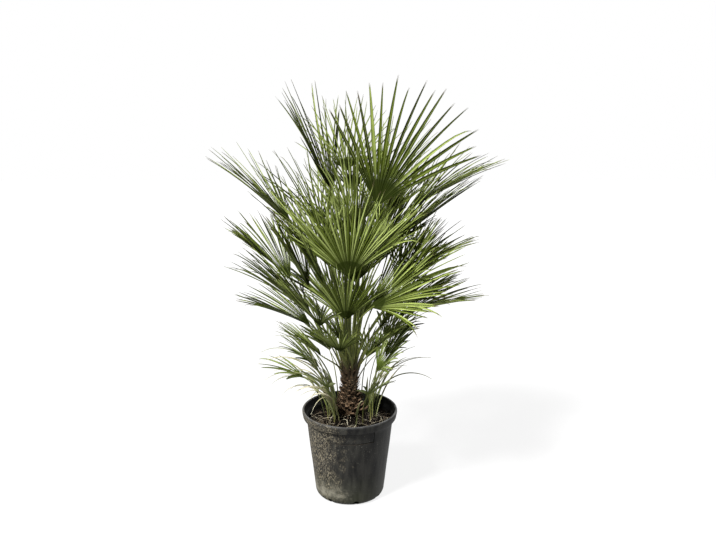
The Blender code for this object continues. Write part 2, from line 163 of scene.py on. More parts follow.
def ramp(value, *stops):
    """Turns a value into colours, or greys, that change at stops: the first, the last, then any between."""
    node = add_node(value.id_data, "ValToRGB", (value,))
    for index, (where, colour) in enumerate(stops):
        stop = node.color_ramp.elements[index] if index < 2 else node.color_ramp.elements.new(where)
        stop.position = where
        stop.color = (*colour, 1) if isinstance(colour, tuple) else (colour, colour, colour, 1)
    return node.outputs[0]


def attribute(finish, name):
    """A value that the mesh carries on its vertices."""
    return add_node(finish.node_tree, "Attribute", attribute_name=name).outputs["Fac"]


def place(finish, axis):
    """One of the object coordinates X, Y or Z."""
    coordinates = add_node(finish.node_tree, "TexCoord").outputs["Object"]
    return add_node(finish.node_tree, "SeparateXYZ", (coordinates,)).outputs[axis]


def cloud(finish, scale, detail=4.0, stretch=(1, 1, 1)):
    """Soft noise on object coordinates, which may be stretched along an axis."""
    coordinates = add_node(finish.node_tree, "TexCoord").outputs["Object"]
    stretched = add_node(finish.node_tree, "Mapping", (coordinates, None, None, stretch)).outputs[0]
    texture = add_node(finish.node_tree, "TexNoise", (stretched,))
    texture.inputs["Scale"].default_value = scale
    texture.inputs["Detail"].default_value = detail
    return texture.outputs[0]


def bump(finish, height, strength, distance):
    """Fine relief in the light only, from a pattern of heights."""
    node = add_node(finish.node_tree, "Bump")
    node.inputs["Strength"].default_value = strength
    node.inputs["Distance"].default_value = distance
    fill(node.inputs["Height"], height)
    shade(finish, "Normal", node.outputs[0])


print("helpers for finishes ready")

# %% [markdown]
# ## Studio
# A plain pale floor and a white world give the even light of a shop's catalogue. Both look nearly white to
# the camera, but shed less light than that, so the leaves keep their depth. The helper gives one strength
# to what the camera sees and another to the light that is shed.


# %% Floor
def camera_level(tree, shed, seen):
    """A strength of one value for the camera and another for the light that is shed."""
    ray = add_node(tree, "LightPath").outputs["Is Camera Ray"]
    level = add_node(tree, "MapRange", (ray,))
    level.inputs["To Min"].default_value = shed
    level.inputs["To Max"].default_value = seen
    return level.outputs["Result"]


floor_form = bmesh.new()
bmesh.ops.create_grid(floor_form, x_segments=1, y_segments=1, size=6)
floor_mesh = bpy.data.meshes.new("floor")
floor_form.to_mesh(floor_mesh)
floor_form.free()
floor_mesh.transform(Matrix.Translation((0, 0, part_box("pot")[0].z - 0.0005)))
floor = bpy.data.objects.new("floor", floor_mesh)
scene.collection.objects.link(floor)
floor_paint = new_finish("floor_paint", 0.9)
shade(floor_paint, "Base Color", (0.12, 0.12, 0.12, 1))
shade(floor_paint, "Emission Color", (1, 1, 1, 1))
shade(floor_paint, "Emission Strength", camera_level(floor_paint.node_tree, 0.30, 0.82))
floor_mesh.materials.append(floor_paint)
print("floor at", round(floor_mesh.vertices[0].co.z, 4))

# %% [markdown]
# ## Two soft suns
# A bright sun from above the front left shapes the leaves, and its small angle gives soft-edged shadows. A
# weaker and much broader one from behind the right opens the dark side of the crown. Sun lamps suit a plant
# that is seen from all sides, because they light it evenly wherever it stands.

# %% Suns and world
SUNS = {"soft_sun": (6.0, 11, (-0.44, -0.50, 0.75)), "back_fill": (1.9, 60, (0.55, 0.55, 0.63))}
for name, (energy, spread, toward) in SUNS.items():
    lamp = bpy.data.lights.new(name, "SUN")
    lamp.energy = energy
    lamp.angle = math.radians(spread)
    sun = bpy.data.objects.new(name, lamp)
    sun.rotation_euler = Vector(toward).to_track_quat("Z", "Y").to_euler()
    scene.collection.objects.link(sun)
world = bpy.data.worlds.new("studio")
scene.world = world
world.use_nodes = True
sky = world.node_tree.nodes["Background"]
sky.inputs["Color"].default_value = (1, 1, 1, 1)
fill(sky.inputs["Strength"], camera_level(world.node_tree, 0.20, 1.0))
scene.view_settings.view_transform = "Standard"
print(len(SUNS), "suns and a white world")


# %% [markdown]
# ## From a bmesh to a piece
# Each piece starts as a bmesh. One helper turns it into an object, shades it smooth but for its sharp edges
# and lets it ride with the plant. A piece may stand for a plain CAD node, which is then hidden.


# %% From a bmesh to a piece
def add_piece(name, form, finishes, slot, *nodes, crease=40):
    """Turns a bmesh into a finished piece of the plant, which may stand for CAD nodes."""
    mesh = bpy.data.meshes.new(name)
    form.to_mesh(mesh)
    form.free()
    mesh.shade_smooth()
    mesh.set_sharp_from_angle(angle=math.radians(crease))
    for finish in finishes:
        mesh.materials.append(finish)
    piece = bpy.data.objects.new(name, mesh)
    scene.collection.objects.link(piece)
    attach(piece, "root")
    if nodes:
        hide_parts(*nodes)
    return piece


print("pieces ride on the body root")

# %% [markdown]
# ## Directions and in-betweens
# Three small functions come back in every step: a direction from two angles, a value between two others, and
# a share that starts and ends softly, for shapes that swell or fade without a kink.


# %% Directions and in-betweens
def polar(heading, rise=0.0):
    """A direction from its heading, where 0 is +X and 90 is +Y, and its rise above the level, in degrees."""
    turn, lift = math.radians(heading), math.radians(rise)
    return Vector((math.cos(lift) * math.cos(turn), math.cos(lift) * math.sin(turn), math.sin(lift)))


def between(low, high, share):
    return low + (high - low) * share


def eased(share):
    """Goes from 0 to 1 with a soft start and a soft end."""
    share = min(max(share, 0.0), 1.0)
    return share * share * (3 - 2 * share)


print("a quarter of the way, eased:", eased(0.25))

# %% [markdown]
# ## Rings along a curve
# Stalks, fibres and straws are long and round or flat, and follow a curve. A curve object with a bevel could
# draw them, but a ring that is extruded from place to place gives full command of its width, height and turn
# at each step. First the places along the curve are found.


# %% Places along a curve
def curve_point(ends, share):
    """A point of the cubic curve through two ends with two handles."""
    a, b, c, d = ends
    rest = 1 - share
    return a * rest ** 3 + b * 3 * rest ** 2 * share + c * 3 * rest * share ** 2 + d * share ** 3


def ring_places(curve, shares, facing, height, width):
    """The place, turn and size of a ring at each share of a curve. Height is measured along facing."""
    places = []
    for share in shares:
        ahead, behind = min(share + 0.01, 1), max(share - 0.01, 0)
        along = (curve_point(curve, ahead) - curve_point(curve, behind)).normalized()
        facing = (facing - along * facing.dot(along)).normalized()
        turn = Matrix((facing, along.cross(facing), along)).transposed().to_4x4()
        size = Matrix.Diagonal((height(share), width(share), 1, 1))
        places.append(Matrix.Translation(curve_point(curve, share)) @ turn @ size)
    return places


print("a curve's places are matrices: move, turn and size")

# %% [markdown]
# ## Sweep a ring
# Then a circle is extruded from one place to the next, and both ends are closed. Each swept shape is added
# to a larger bmesh, because one piece may hold hundreds of them, and it brings along values, such as its
# tone, for the finish to read.


# %% Sweep a ring
def append(form, part, **values):
    """Adds a small closed shape to a larger bmesh, with a value in each named layer of its vertices."""
    for key, value in values.items():
        layer = part.verts.layers.float.get(key) or part.verts.layers.float.new(key)
        for vert in part.verts:
            vert[layer] = value
    mesh = bpy.data.meshes.new("part")
    part.to_mesh(mesh)
    part.free()
    form.from_mesh(mesh)
    bpy.data.meshes.remove(mesh)


def extruded(form, edges):
    """Extrudes some edges, and returns the new vertices and the new edges between them."""
    made = bmesh.ops.extrude_edge_only(form, edges=edges)["geom"]
    fresh = {item for item in made if isinstance(item, bmesh.types.BMVert)}
    edges = [item for item in made if isinstance(item, bmesh.types.BMEdge)]
    return fresh, [edge for edge in edges if fresh.issuperset(edge.verts)]


def sweep(form, places, sides, flat_face=1.0, finish=0, **values):
    """Extrudes a ring from place to place and closes its ends. The layer along keeps each ring's share."""
    strand = bmesh.new()
    along = strand.verts.layers.float.new("along")
    ring = bmesh.ops.create_circle(strand, segments=sides, radius=1)["verts"]
    for vert in ring:
        vert.co.x = min(vert.co.x, flat_face)
    bmesh.ops.transform(strand, verts=ring, matrix=places[0])
    edges = strand.edges[:]
    bmesh.ops.edgeloop_fill(strand, edges=edges)
    for step in range(1, len(places)):
        ring, edges = extruded(strand, edges)
        bmesh.ops.transform(strand, verts=list(ring), matrix=places[step] @ places[step - 1].inverted())
        for vert in ring:
            vert[along] = step / (len(places) - 1)
    bmesh.ops.edgeloop_fill(strand, edges=edges)
    bmesh.ops.recalc_face_normals(strand, faces=strand.faces)
    for face in strand.faces:
        face.material_index = finish
    append(form, strand, **values)


print("the sweep is ready")

# %% [markdown]
# ## Lathe
# The pot, the soil and the trunk are round. Their section is a chain of points that give radius and height,
# spun a full turn round the plant's axis. The spin leaves doubles at the axis, so they are merged.


# %% Lathe
def lathe(section, steps):
    """Spins a section of (radius, height) points round the vertical axis."""
    form = bmesh.new()
    corners = [form.verts.new((radius, 0, height)) for radius, height in section]
    edges = [form.edges.new(pair) for pair in zip(corners, corners[1:])]
    bmesh.ops.spin(form, geom=corners + edges, cent=(0, 0, 0), axis=(0, 0, 1), angle=math.tau, steps=steps,
                   use_merge=True)
    bmesh.ops.remove_doubles(form, verts=form.verts, dist=0.00001)
    return form


def closed(form):
    """Fills the holes of a shape and turns its faces outwards."""
    bmesh.ops.holes_fill(form, edges=[edge for edge in form.edges if edge.is_boundary], sides=0)
    bmesh.ops.recalc_face_normals(form, faces=form.faces)


print("the lathe is ready")

# %% [markdown]
# ## Table of fan leaves
# A fan palm's leaf is a stalk with a round pleated fan at its end, split into stiff pointed segments. The
# table repeats the driving values of the CAD: where the fan's hub is, which way its middle looks, its roll,
# length, half spread, the fold of its two halves and its number of segments. The last value is a tone, from
# -1 for an old dark leaf to 1 for a young pale one. It also holds painted light: leaves that stand in the
# shade of the crown get a paler tone as a painted highlight, and the backlit crest a darker one as painted
# shade. The first value is the tier of the trunk, from 0 at its foot, that the stalk grows from.

# %% Fronds of the crown
FRONDS = {
    "frond_crest_right": (3, 0.085, -0.14, 1.03, 45, 62, 30, 0.45, 44, 10, 17, -0.6),
    "frond_crest_left": (3, -0.055, 0.02, 1.03, 170, 68, -10, 0.42, 44, 20, 15, -0.2),
    "frond_crest_back": (3, 0.01, 0.15, 1.02, 95, 75, 0, 0.33, 45, 10, 14, 1.0),
    "frond_upper_left": (2, -0.19, 0.00, 0.94, 180, 45, 0, 0.37, 55, 20, 15, 0.5),
    "frond_upper_right": (3, 0.21, 0.08, 0.98, 10, 28, 0, 0.36, 45, 28, 14, 0.1),
    "frond_upper_front": (2, 0.00, -0.16, 0.81, -90, 80, 0, 0.36, 55, 5, 17, 0.5),
    "frond_heart": (3, 0.02, -0.06, 0.93, -70, 78, 0, 0.34, 40, 15, 14, 1.0),
    "frond_centre_left": (2, -0.07, -0.10, 0.85, 200, 62, 30, 0.34, 50, 12, 14, 0.9),
    "frond_centre_right": (2, 0.09, -0.07, 0.86, -10, 58, 30, 0.35, 50, 12, 14, 0.8),
    "frond_right": (2, 0.16, 0.04, 0.88, 0, 38, 0, 0.36, 45, 28, 14, 0.0),
    "frond_back_high": (3, 0.10, 0.12, 1.01, 45, 55, 0, 0.33, 45, 20, 13, 0.0),
    "frond_back_right": (2, 0.10, 0.15, 0.90, 60, 50, 0, 0.35, 45, 20, 13, -0.2),
    "frond_back_left": (2, -0.10, 0.16, 0.90, 120, 50, 0, 0.35, 45, 20, 13, -0.2),
    "frond_inner_left": (2, -0.15, 0.06, 0.84, 165, 58, 0, 0.33, 45, 22, 13, -0.2),
    "frond_left": (1, -0.20, 0.12, 0.72, 155, 38, 0, 0.34, 45, 30, 14, -0.3),
    "frond_left_steep": (1, -0.13, -0.02, 0.73, 170, 60, 0, 0.31, 40, 30, 13, 0.0),
    "frond_middle_right": (1, 0.14, 0.01, 0.74, 0, 34, 10, 0.34, 45, 28, 14, 0.1),
    "frond_front_right": (1, 0.07, -0.16, 0.71, -15, 36, 35, 0.37, 50, 15, 15, 0.0),
    "frond_front_left": (1, -0.09, -0.19, 0.66, -120, 42, -15, 0.28, 45, 20, 13, 0.1),
    "frond_centre_low": (1, -0.01, -0.13, 0.66, -95, 68, 0, 0.25, 50, 10, 12, 0.0),
    "frond_back": (1, 0.03, 0.20, 0.72, 85, 40, 0, 0.35, 50, 20, 13, -0.3),
    "frond_inner_back": (1, -0.07, 0.11, 0.77, 130, 58, 0, 0.32, 45, 20, 12, -0.3),
    "frond_inner_right": (1, 0.09, 0.09, 0.79, 40, 52, 0, 0.33, 45, 20, 12, -0.2),
    "frond_low_left": (0, -0.12, -0.08, 0.66, 195, 40, 0, 0.35, 45, 30, 14, -0.2),
    "frond_lowest_left": (0, -0.13, 0.05, 0.58, 170, 22, 0, 0.29, 45, 28, 13, -0.6),
    "frond_lowest_right": (0, 0.16, -0.09, 0.66, -10, 20, 0, 0.30, 45, 28, 14, -0.1),
    "frond_low_right": (0, 0.14, 0.10, 0.60, 35, 25, 0, 0.31, 45, 25, 12, 0.1),
    "frond_low_back": (0, -0.05, 0.17, 0.60, 115, 25, 0, 0.33, 45, 25, 12, -0.6),
    "frond_small_left": (0, -0.09, -0.10, 0.53, 200, 40, 0, 0.20, 50, 18, 10, 0.5),
    "frond_small_right": (0, 0.09, -0.10, 0.56, -40, 45, 20, 0.20, 50, 18, 11, 0.5),
    "frond_small_front": (0, -0.03, -0.12, 0.55, -110, 45, 0, 0.19, 50, 15, 10, 0.5),
    "frond_small_back": (0, 0.03, 0.13, 0.58, 75, 45, 0, 0.22, 50, 15, 10, -0.4),
    "frond_core_high": (3, -0.01, 0.01, 0.90, 110, 80, 0, 0.33, 50, 8, 15, 1.0),
    "frond_core_left": (2, -0.06, 0.03, 0.88, 150, 74, 0, 0.33, 50, 12, 14, 1.0),
    "frond_core_low": (1, 0.02, -0.05, 0.76, -80, 76, 0, 0.30, 50, 10, 13, 0.2),
    "frond_fill_left": (1, -0.08, -0.10, 0.77, 180, 58, 10, 0.31, 50, 12, 13, 0.0),
    "frond_fill_right": (1, 0.15, -0.10, 0.75, 10, 64, 10, 0.31, 50, 12, 13, 0.1),
    "frond_crest_middle": (3, -0.01, 0.06, 1.10, 100, 76, 0, 0.28, 48, 8, 13, 1.0),
    "frond_low_fill_left": (0, -0.02, -0.10, 0.57, 205, 52, 0, 0.27, 50, 12, 12, 0.1),
    "frond_low_fill_right": (0, 0.10, -0.04, 0.60, -30, 52, 10, 0.29, 50, 12, 12, 0.4),
    "frond_right_fill": (0, 0.16, 0.04, 0.69, -10, 44, 0, 0.28, 40, 20, 11, -0.2),
}
TIER, LENGTH, COUNT = 0, 7, 10
TIER_HEIGHTS = (0.409, 0.439, 0.469, 0.499)
TIER_RADII = (0.0238, 0.0217, 0.0202, 0.0183)
TIER_LEAN = (0.24, 0.20, 0.15, 0.10)
print(len(FRONDS), "fronds with", sum(row[COUNT] for row in FRONDS.values()), "segments")

# %% [markdown]
# ## Young offshoots
# Round the foot of the trunk stand the first leaves of side shoots. They are softer, with a few broad
# segments that hang a little at their ends. Their table has the x and y of the foot in the soil instead of
# the tier. The soil mounds up round the trunk, so a foot's height comes from its distance to the middle.

# %% Leaves of the offshoots
# The last value, the tone, is also painted light: these leaves stand in the crown's shade and get paler tones
# as a painted highlight.
OFFSHOOTS = {
    "shoot_left_high": ((-0.060, 0.012), -0.10, 0.00, 0.45, 180, 40, 0, 0.19, 40, 15, 7, 0.7),
    "shoot_left_low": ((-0.072, -0.030), -0.15, -0.05, 0.435, 190, 30, 0, 0.18, 50, 10, 7, 0.2),
    "shoot_left_front": ((-0.050, -0.060), -0.07, -0.13, 0.43, 230, 45, 0, 0.15, 45, 10, 6, 0.7),
    "shoot_right_high": ((0.062, 0.020), 0.12, 0.08, 0.52, 30, 42, 0, 0.21, 55, 15, 9, 0.5),
    "shoot_right_low": ((0.070, -0.036), 0.09, -0.11, 0.48, 0, 56, 10, 0.23, 60, 15, 11, 0.6),
    "shoot_right_front": ((0.044, -0.070), 0.06, -0.14, 0.41, -60, 45, 0, 0.14, 45, 10, 6, 0.1),
    "shoot_back_left": ((-0.040, 0.068), -0.07, 0.14, 0.46, 120, 45, 0, 0.18, 45, 15, 7, 0.0),
    "shoot_back_right": ((0.040, 0.070), 0.06, 0.15, 0.43, 65, 40, 0, 0.17, 45, 15, 7, 0.0),
    "shoot_right_middle": ((0.076, -0.010), 0.12, -0.03, 0.50, 15, 58, 0, 0.20, 50, 15, 9, 0.4),
    "shoot_left_middle": ((-0.066, -0.010), -0.10, -0.06, 0.46, 190, 52, 0, 0.20, 45, 15, 8, 0.9),
}
SOIL_LEVEL = 0.262


def soil_height(radius):
    """Height of the smooth soil at a distance from the pot's axis."""
    return SOIL_LEVEL + 0.040 * math.exp(-(radius / 0.075) ** 2)


print(len(OFFSHOOTS), "leaves of offshoots, soil at the trunk", round(soil_height(0.043), 4))

# %% [markdown]
# ## Fitting the curves to the CAD
# In the CAD some stalks stand a little round the trunk and some segments bend aside, so that no two leaves
# meet. The choices were made in steps of a few degrees. Here the same steps are tried, and the one whose
# corners lie nearest to the corners of the CAD node is taken, so the fine leaf follows the plain one. A tree
# of the node's corners finds the nearest quickly.


# %% Distance to a CAD node
def nearest_in(node):
    """A function that gives the distance from some points to the nearest corners of a CAD node."""
    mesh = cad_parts[node].data
    tree = KDTree(len(mesh.vertices))
    for vert in mesh.vertices:
        tree.insert(vert.co, vert.index)
    tree.balance()
    return lambda *points: sum(tree.find(point)[2] for point in points)


print("corners of", len(FRONDS) + len(OFFSHOOTS), "leaves can be searched")

# %% [markdown]
# ## Stalks
# A stalk is one cubic curve. It leaves the trunk close to upright and runs into the fan along its middle. The
# CAD keeps air between the stalks, but on the plant they stand packed, so once the turn is found the feet of
# the crown's stalks move in towards the axis by a share of their distance.


# %% Stalk curves
STALK_RADIUS = 0.0042
GAP = 0.0003
CLOSER = 0.28


def stalk_curve(foot, lean, hub, middle):
    """The stalk leaves its foot along lean and runs into the fan along the fan's middle."""
    reach = (hub - foot).length
    return foot, foot + lean * reach * 0.4, hub - middle * reach * 0.3, hub + middle * 0.012


def stalk_of(stand, hub, middle, distance):
    """The stalk from the soil, or from its tier of the trunk at the turn that the CAD has."""
    if isinstance(stand, tuple):
        foot = Vector((*stand, soil_height(math.hypot(*stand) - STALK_RADIUS) + 2 * GAP))
        return stalk_curve(foot, UP, hub, middle)
    toward = math.degrees(math.atan2(hub.y, hub.x))
    choices = []
    for turn in range(-90, 100, 10):
        outward = polar(toward + turn)
        foot = outward * (TIER_RADII[stand] + STALK_RADIUS + GAP) + UP * TIER_HEIGHTS[stand]
        lean = (UP + outward * TIER_LEAN[stand]).normalized()
        side = (lean * outward.dot(lean) - outward).normalized() * STALK_RADIUS
        choices.append((distance(foot + side, foot - side), turn, stalk_curve(foot, lean, hub, middle)))
    foot, rise, *rest = min(choices)[2]
    inwards = Vector((foot.x, foot.y, 0)) * -CLOSER
    return foot + inwards, rise + inwards, *rest


print("the feet move in by", round(CLOSER * 100), "% of their distance to the axis")

# %% [markdown]
# ## Segments
# A fan is whole near its hub, in what botanists call the palman, and split into pointed segments beyond it.
# Only the midrib of a segment is worked out here. It runs straight through the palman, and then the free
# part bends aside and droops under its weight. The fit tries shorter lengths and small bends.


# %% Segments of a fan
PALMAN = 0.18
WIDEST = 0.42
BENDS = [(0, 0)] + [(up * step, side * step) for step in (4, 8, 12, 16, 20, 26)
                    for up, side in ((1, 0), (-1, 0), (0, 1), (0, -1), (1, 1), (1, -1), (-1, 1), (-1, -1))]
LENGTHS = (1.0, 0.85, 0.7, 0.55, 0.4)


class Segment:
    """The midrib of one pointed segment: straight in the palman, then bending aside and drooping."""

    def __init__(self, hub, middle, upper, angle, fold, length, droop):
        turn, lift = math.radians(angle), math.radians(fold)
        side = middle.cross(upper)
        sideways = side * math.copysign(math.cos(lift), turn) + upper * math.sin(lift)
        self.hub, self.length, self.droop = hub, length, droop
        self.along = middle * math.cos(turn) + sideways * abs(math.sin(turn))
        across = side * math.cos(turn) - middle * math.sin(turn)
        self.across = (across - self.along * across.dot(self.along)).normalized()
        self.upper = self.along.cross(self.across)
        if self.upper.dot(upper) < 0:
            self.upper.negate()
        self.bend = Vector((0, 0, 0))

    def point(self, share):
        free = max(0.0, share - PALMAN)
        return self.hub + (self.along * share + self.bend * free - UP * self.droop * free ** 2) * self.length

    def fit(self, width, distance):
        """Takes the length and bend whose tip and widest points lie nearest to the CAD's corners."""
        full, half = self.length, self.across * width / 2
        choices = []
        for shorter in LENGTHS:
            self.length = full * shorter
            for lift, swing in BENDS:
                self.bend = (self.upper * math.tan(math.radians(lift))
                             + self.across * math.tan(math.radians(swing)))
                widest = self.point(WIDEST)
                gap = distance(self.point(1), widest - half, widest + half)
                choices.append((gap, self.length, self.bend.copy()))
        gap, self.length, self.bend = min(choices, key=lambda choice: choice[0])
        return gap


print(len(BENDS) * len(LENGTHS), "choices for each segment")

# %% [markdown]
# ## Whole fans
# The segments of a fan spread evenly to both sides of its middle, and those at the sides are shorter. Two
# halves that lift make the fan a shallow V, as on most of the leaves.


# %% Whole fans
def fan_of(stand, x, y, z, heading, rise, roll, length, half, fold, count, distance):
    """The stalk's curve and the fitted segments of one leaf."""
    hub, middle = Vector((x, y, z)), polar(heading, rise)
    level = middle.cross(UP.cross(middle)).normalized()
    upper = Matrix.Rotation(math.radians(roll), 3, middle) @ level
    soft = isinstance(stand, tuple)
    width, droop = (0.045, 0.5) if soft else (0.030, 0.12)
    segments, gaps = [], []
    for index in range(count):
        angle = half * (2 * index / (count - 1) - 1)
        reach = length * (1 - 0.2 * (angle / half) ** 2) * (1 - 0.05 * (index % 2))
        segment = Segment(hub, middle, upper, angle, fold, reach, droop)
        gaps.append(segment.fit(width * length, distance))
        segments.append(segment)
    return stalk_of(stand, hub, middle, distance), segments, max(gaps)


print("fans are fitted segment by segment")

# %% [markdown]
# ## More segments
# The CAD has few segments, to stay simple. The real leaf has more and finer ones, so new segments are set
# between the fitted ones, halfway or at thirds. The broad fans and the airy ones at the top keep their
# number, because there single segments stand out against the light. The offshoots' segments are also made
# to hang less, as those of a well watered plant do.


# %% More segments
SOFT_DROOP = 0.45
WORST_FIT = 0.006


def inserted(first, second, share):
    """A segment between two neighbours, at a share of the way and a little shorter than they are."""
    made = Segment.__new__(Segment)
    made.hub, made.droop = first.hub, first.droop
    made.length = between(first.length, second.length, share) * chance.uniform(0.86, 1.0)
    made.along = first.along.lerp(second.along, share).normalized()
    across = first.across.lerp(second.across, share)
    made.across = (across - made.along * across.dot(made.along)).normalized()
    facing = first.along.cross(first.across).dot(first.upper)
    made.upper = made.along.cross(made.across) * math.copysign(1, facing)
    made.bend = first.bend.lerp(second.bend, share)
    return made


def filled(segments, more):
    """The fitted segments with some more between each two."""
    full = [segments[0]]
    for first, second in zip(segments, segments[1:]):
        full += [inserted(first, second, step / (more + 1)) for step in range(1, more + 1)] + [second]
    return full


def more_between(name):
    """How many segments go between each two of a fan: most in the dense low crown, none in the airy top."""
    if name in BROAD | FINE:
        return 0
    return 2 if name in FRONDS and FRONDS[name][TIER] < 2 else 1


BROAD = {"frond_crest_right", "shoot_left_high", "shoot_left_low", "shoot_left_front"}
FINE = {"frond_crest_back", "frond_crest_middle", "frond_core_high", "frond_core_left", "frond_inner_left",
        "frond_back_left", "frond_back_high", "frond_inner_back"}
fans = {}
for name, (*row, tone) in {**FRONDS, **OFFSHOOTS}.items():
    curve, segments, gap = fan_of(*row, nearest_in(name))
    if name in OFFSHOOTS:
        for segment in segments:
            segment.droop *= SOFT_DROOP
    fans[name] = (curve, filled(segments, more_between(name)), row[LENGTH], tone)
    if gap > WORST_FIT:
        print(name, "worst fit", round(gap * 1000, 1), "mm")
print("fitted", len(fans), "fans with", sum(len(fan[1]) for fan in fans.values()), "segments")

# %% [markdown]
# ## Leaf finish
# The leaf is stiff and leathery: a satin green skin with fine ribs along each segment, a pale line at the
# midrib made stronger as a painted highlight, edges darkened as painted shade in the folds between the
# segments, a hub darkened as painted shade, and dry brown tips. The underside is a little duller. The mesh
# carries the values that the pattern follows: fold is 0 at a midrib and 1 at an edge, reach is 0 at the
# hub, 1 where the fan splits and 2 at the tips, and tone differs from leaf to leaf and from segment to
# segment. The skin shines little, because a glossy one would turn grey under a white sky.

# %% Leaf green
DRY_TIP = (0.10, 0.072, 0.042)
RIBS = 38.0


def leaf_finish(name, dark, mid, light, hub, roughness):
    """A leaf skin from its dark, middle and light greens and the darker colour near its hub, which is painted
    shade.
    """
    finish = new_finish(name, roughness, 0.08)
    fold, reach, tone = (attribute(finish, key) for key in ("fold", "reach", "tone"))
    patchy = maths("MULTIPLY_ADD", cloud(finish, 18), 0.5, -0.25)
    shift = plus(maths("MULTIPLY_ADD", tone, 0.5, 0.5), patchy)
    skin = ramp(shift, (0.0, dark), (1.0, light), (0.5, mid))
    ribs = maths("SINE", times(fold, RIBS))
    skin = mixed(ramp(ribs, (0.3, 0.0), (1.0, 0.16)), skin, light)
    # Painted highlight: a pale line along each midrib.
    skin = mixed(ramp(fold, (0.0, 0.5), (0.2, 0.0)), skin, light)
    # Painted shade: the edges of each segment are darkened, as in the folds between segments.
    skin = mixed(ramp(fold, (0.72, 0.0), (1.0, 0.7)), skin, dark)
    outward = times(reach, 0.5)
    # Painted shade: near the palman the skin turns to the dark hub colour.
    skin = mixed(ramp(outward, (0.48, 0.95), (0.72, 0.0), (0.55, 0.45)), skin, hub)
    burnt = plus(outward, times(patchy, 0.35))
    skin = mixed(ramp(burnt, (0.955, 0.0), (1.0, 0.9)), skin, DRY_TIP)
    shade(finish, "Base Color", skin)
    shade(finish, "Roughness", ramp(outward, (0.42, 0.85), (0.56, roughness)))
    bump(finish, ribs, 0.25, 0.0004)
    return finish


LEAF_TOP = leaf_finish("leaf_upper_face", (0.010, 0.015, 0.001), (0.076, 0.105, 0.006), (0.36, 0.43, 0.125),
                       (0.012, 0.019, 0.0005), 0.36)
LEAF_BACK = leaf_finish("leaf_underside", (0.012, 0.018, 0.001), (0.076, 0.106, 0.006), (0.36, 0.43, 0.13),
                        (0.016, 0.025, 0.001), 0.42)
SHOOT_TOP = leaf_finish("shoot_upper_face", (0.014, 0.022, 0.002), (0.070, 0.098, 0.012), (0.30, 0.36, 0.12),
                        (0.060, 0.085, 0.012), 0.42)
SHOOT_BACK = leaf_finish("shoot_underside", (0.024, 0.034, 0.006), (0.10, 0.128, 0.030), (0.32, 0.37, 0.16),
                         (0.085, 0.110, 0.022), 0.5)
print("each leaf skin has", len(LEAF_TOP.node_tree.nodes), "nodes")

# %% [markdown]
# ## Stalk finish
# A stalk is smooth and a little waxy. It is yellow green, browner and drier at its foot, where it clasps the
# trunk. Its colour follows the height, and noise drawn out along it gives fine streaks.


# %% Stalk green
def stalk_finish(name, foot, middle, top, low, high):
    """A stalk skin that goes from foot to middle between the heights low and high, and to top at 1 m."""
    finish = new_finish(name, 0.45)
    skin = ramp(place(finish, "Z"), (low, foot), (high, middle), (1.0, top))
    streaks = ramp(cloud(finish, 300, 3, (1, 1, 0.08)), (0.35, 0.78), (0.7, 1.15))
    shaded = ramp(maths("MULTIPLY_ADD", attribute(finish, "tone"), 0.5, 0.5), (0.0, 0.55), (1.0, 1.5))
    shade(finish, "Base Color", tinted(tinted(skin, streaks), shaded))
    bump(finish, streaks, 0.2, 0.0004)
    return finish


STALK = stalk_finish("frond_stalk", (0.050, 0.033, 0.018), (0.15, 0.17, 0.040), (0.14, 0.18, 0.035),
                     0.45, 0.51)
SHOOT_STALK = stalk_finish("shoot_stalk", (0.14, 0.13, 0.045), (0.17, 0.19, 0.05), (0.12, 0.15, 0.035),
                           0.28, 0.33)
print("two stalk skins")

# %% [markdown]
# ## The net of one fan
# The fan starts as a flat grid: four columns for each segment, and a few rows from the hub to where the fan
# splits. The far edge of the grid is then extruded segment by segment, so each becomes a strip of its own,
# and near the tip each half of a strip is extruded by itself, which gives the split tip. Layers on the
# vertices remember the column and the row, and only when all rows are there does each vertex get its place.

# %% The flat net of a fan
COLUMNS = 4
PALMAN_ROWS = 4
FREE_ROWS = 7
FIRST_ROW, SPLIT_AT, SPLIT_TIP = 0.03, 0.92, 0.965


def flat_net(count):
    """A fan's net of faces. Its layers hold each vertex's segment, side in it, row and half of the tip."""
    net = bmesh.new()
    owner = net.verts.layers.int.new("owner")
    half = net.verts.layers.int.new("half")
    side = net.verts.layers.float.new("side")
    reach = net.verts.layers.float.new("reach")
    bmesh.ops.create_grid(net, x_segments=COLUMNS * count, y_segments=PALMAN_ROWS, size=0.5)
    for vert in net.verts:
        column = round((vert.co.x + 0.5) * COLUMNS * count)
        vert[owner] = min(column // COLUMNS, count - 1)
        vert[side] = (column - COLUMNS * vert[owner]) / 2 - 1
        vert[reach] = vert.co.y + 0.5

    def grow(edges, share, tip=0):
        """Extrudes some edges by a row, at a share of the free part, as one half of a tip or as none."""
        new, front = extruded(net, edges)
        for vert in new:
            vert[reach] = 1 + share
            if tip:
                vert[half] = tip
        return front

    rim = [edge for edge in net.edges if min(vert[reach] for vert in edge.verts) > 0.999]
    fronts = []
    for index in range(count):
        middle = (index + 0.5) / count - 0.5
        own = [edge for edge in rim
               if abs((edge.verts[0].co.x + edge.verts[1].co.x) / 2 - middle) < 0.5 / count]
        front = grow(own, FIRST_ROW)
        for vert in {vert for edge in front for vert in edge.verts}:
            vert[side] = 1.0 if vert[owner] != index else vert[side]
            vert[owner] = index
        fronts += front
    for row in range(1, FREE_ROWS + 1):
        fronts = grow(fronts, between(FIRST_ROW, SPLIT_AT, row / FREE_ROWS))
    right = [edge for edge in fronts if edge.verts[0][side] + edge.verts[1][side] > 0]
    left = [edge for edge in fronts if edge not in right]
    grow(grow(right, SPLIT_TIP, 1) + grow(left, SPLIT_TIP, -1), 1.0)
    return net


print("a net of one segment has", len(flat_net(1).faces), "faces")

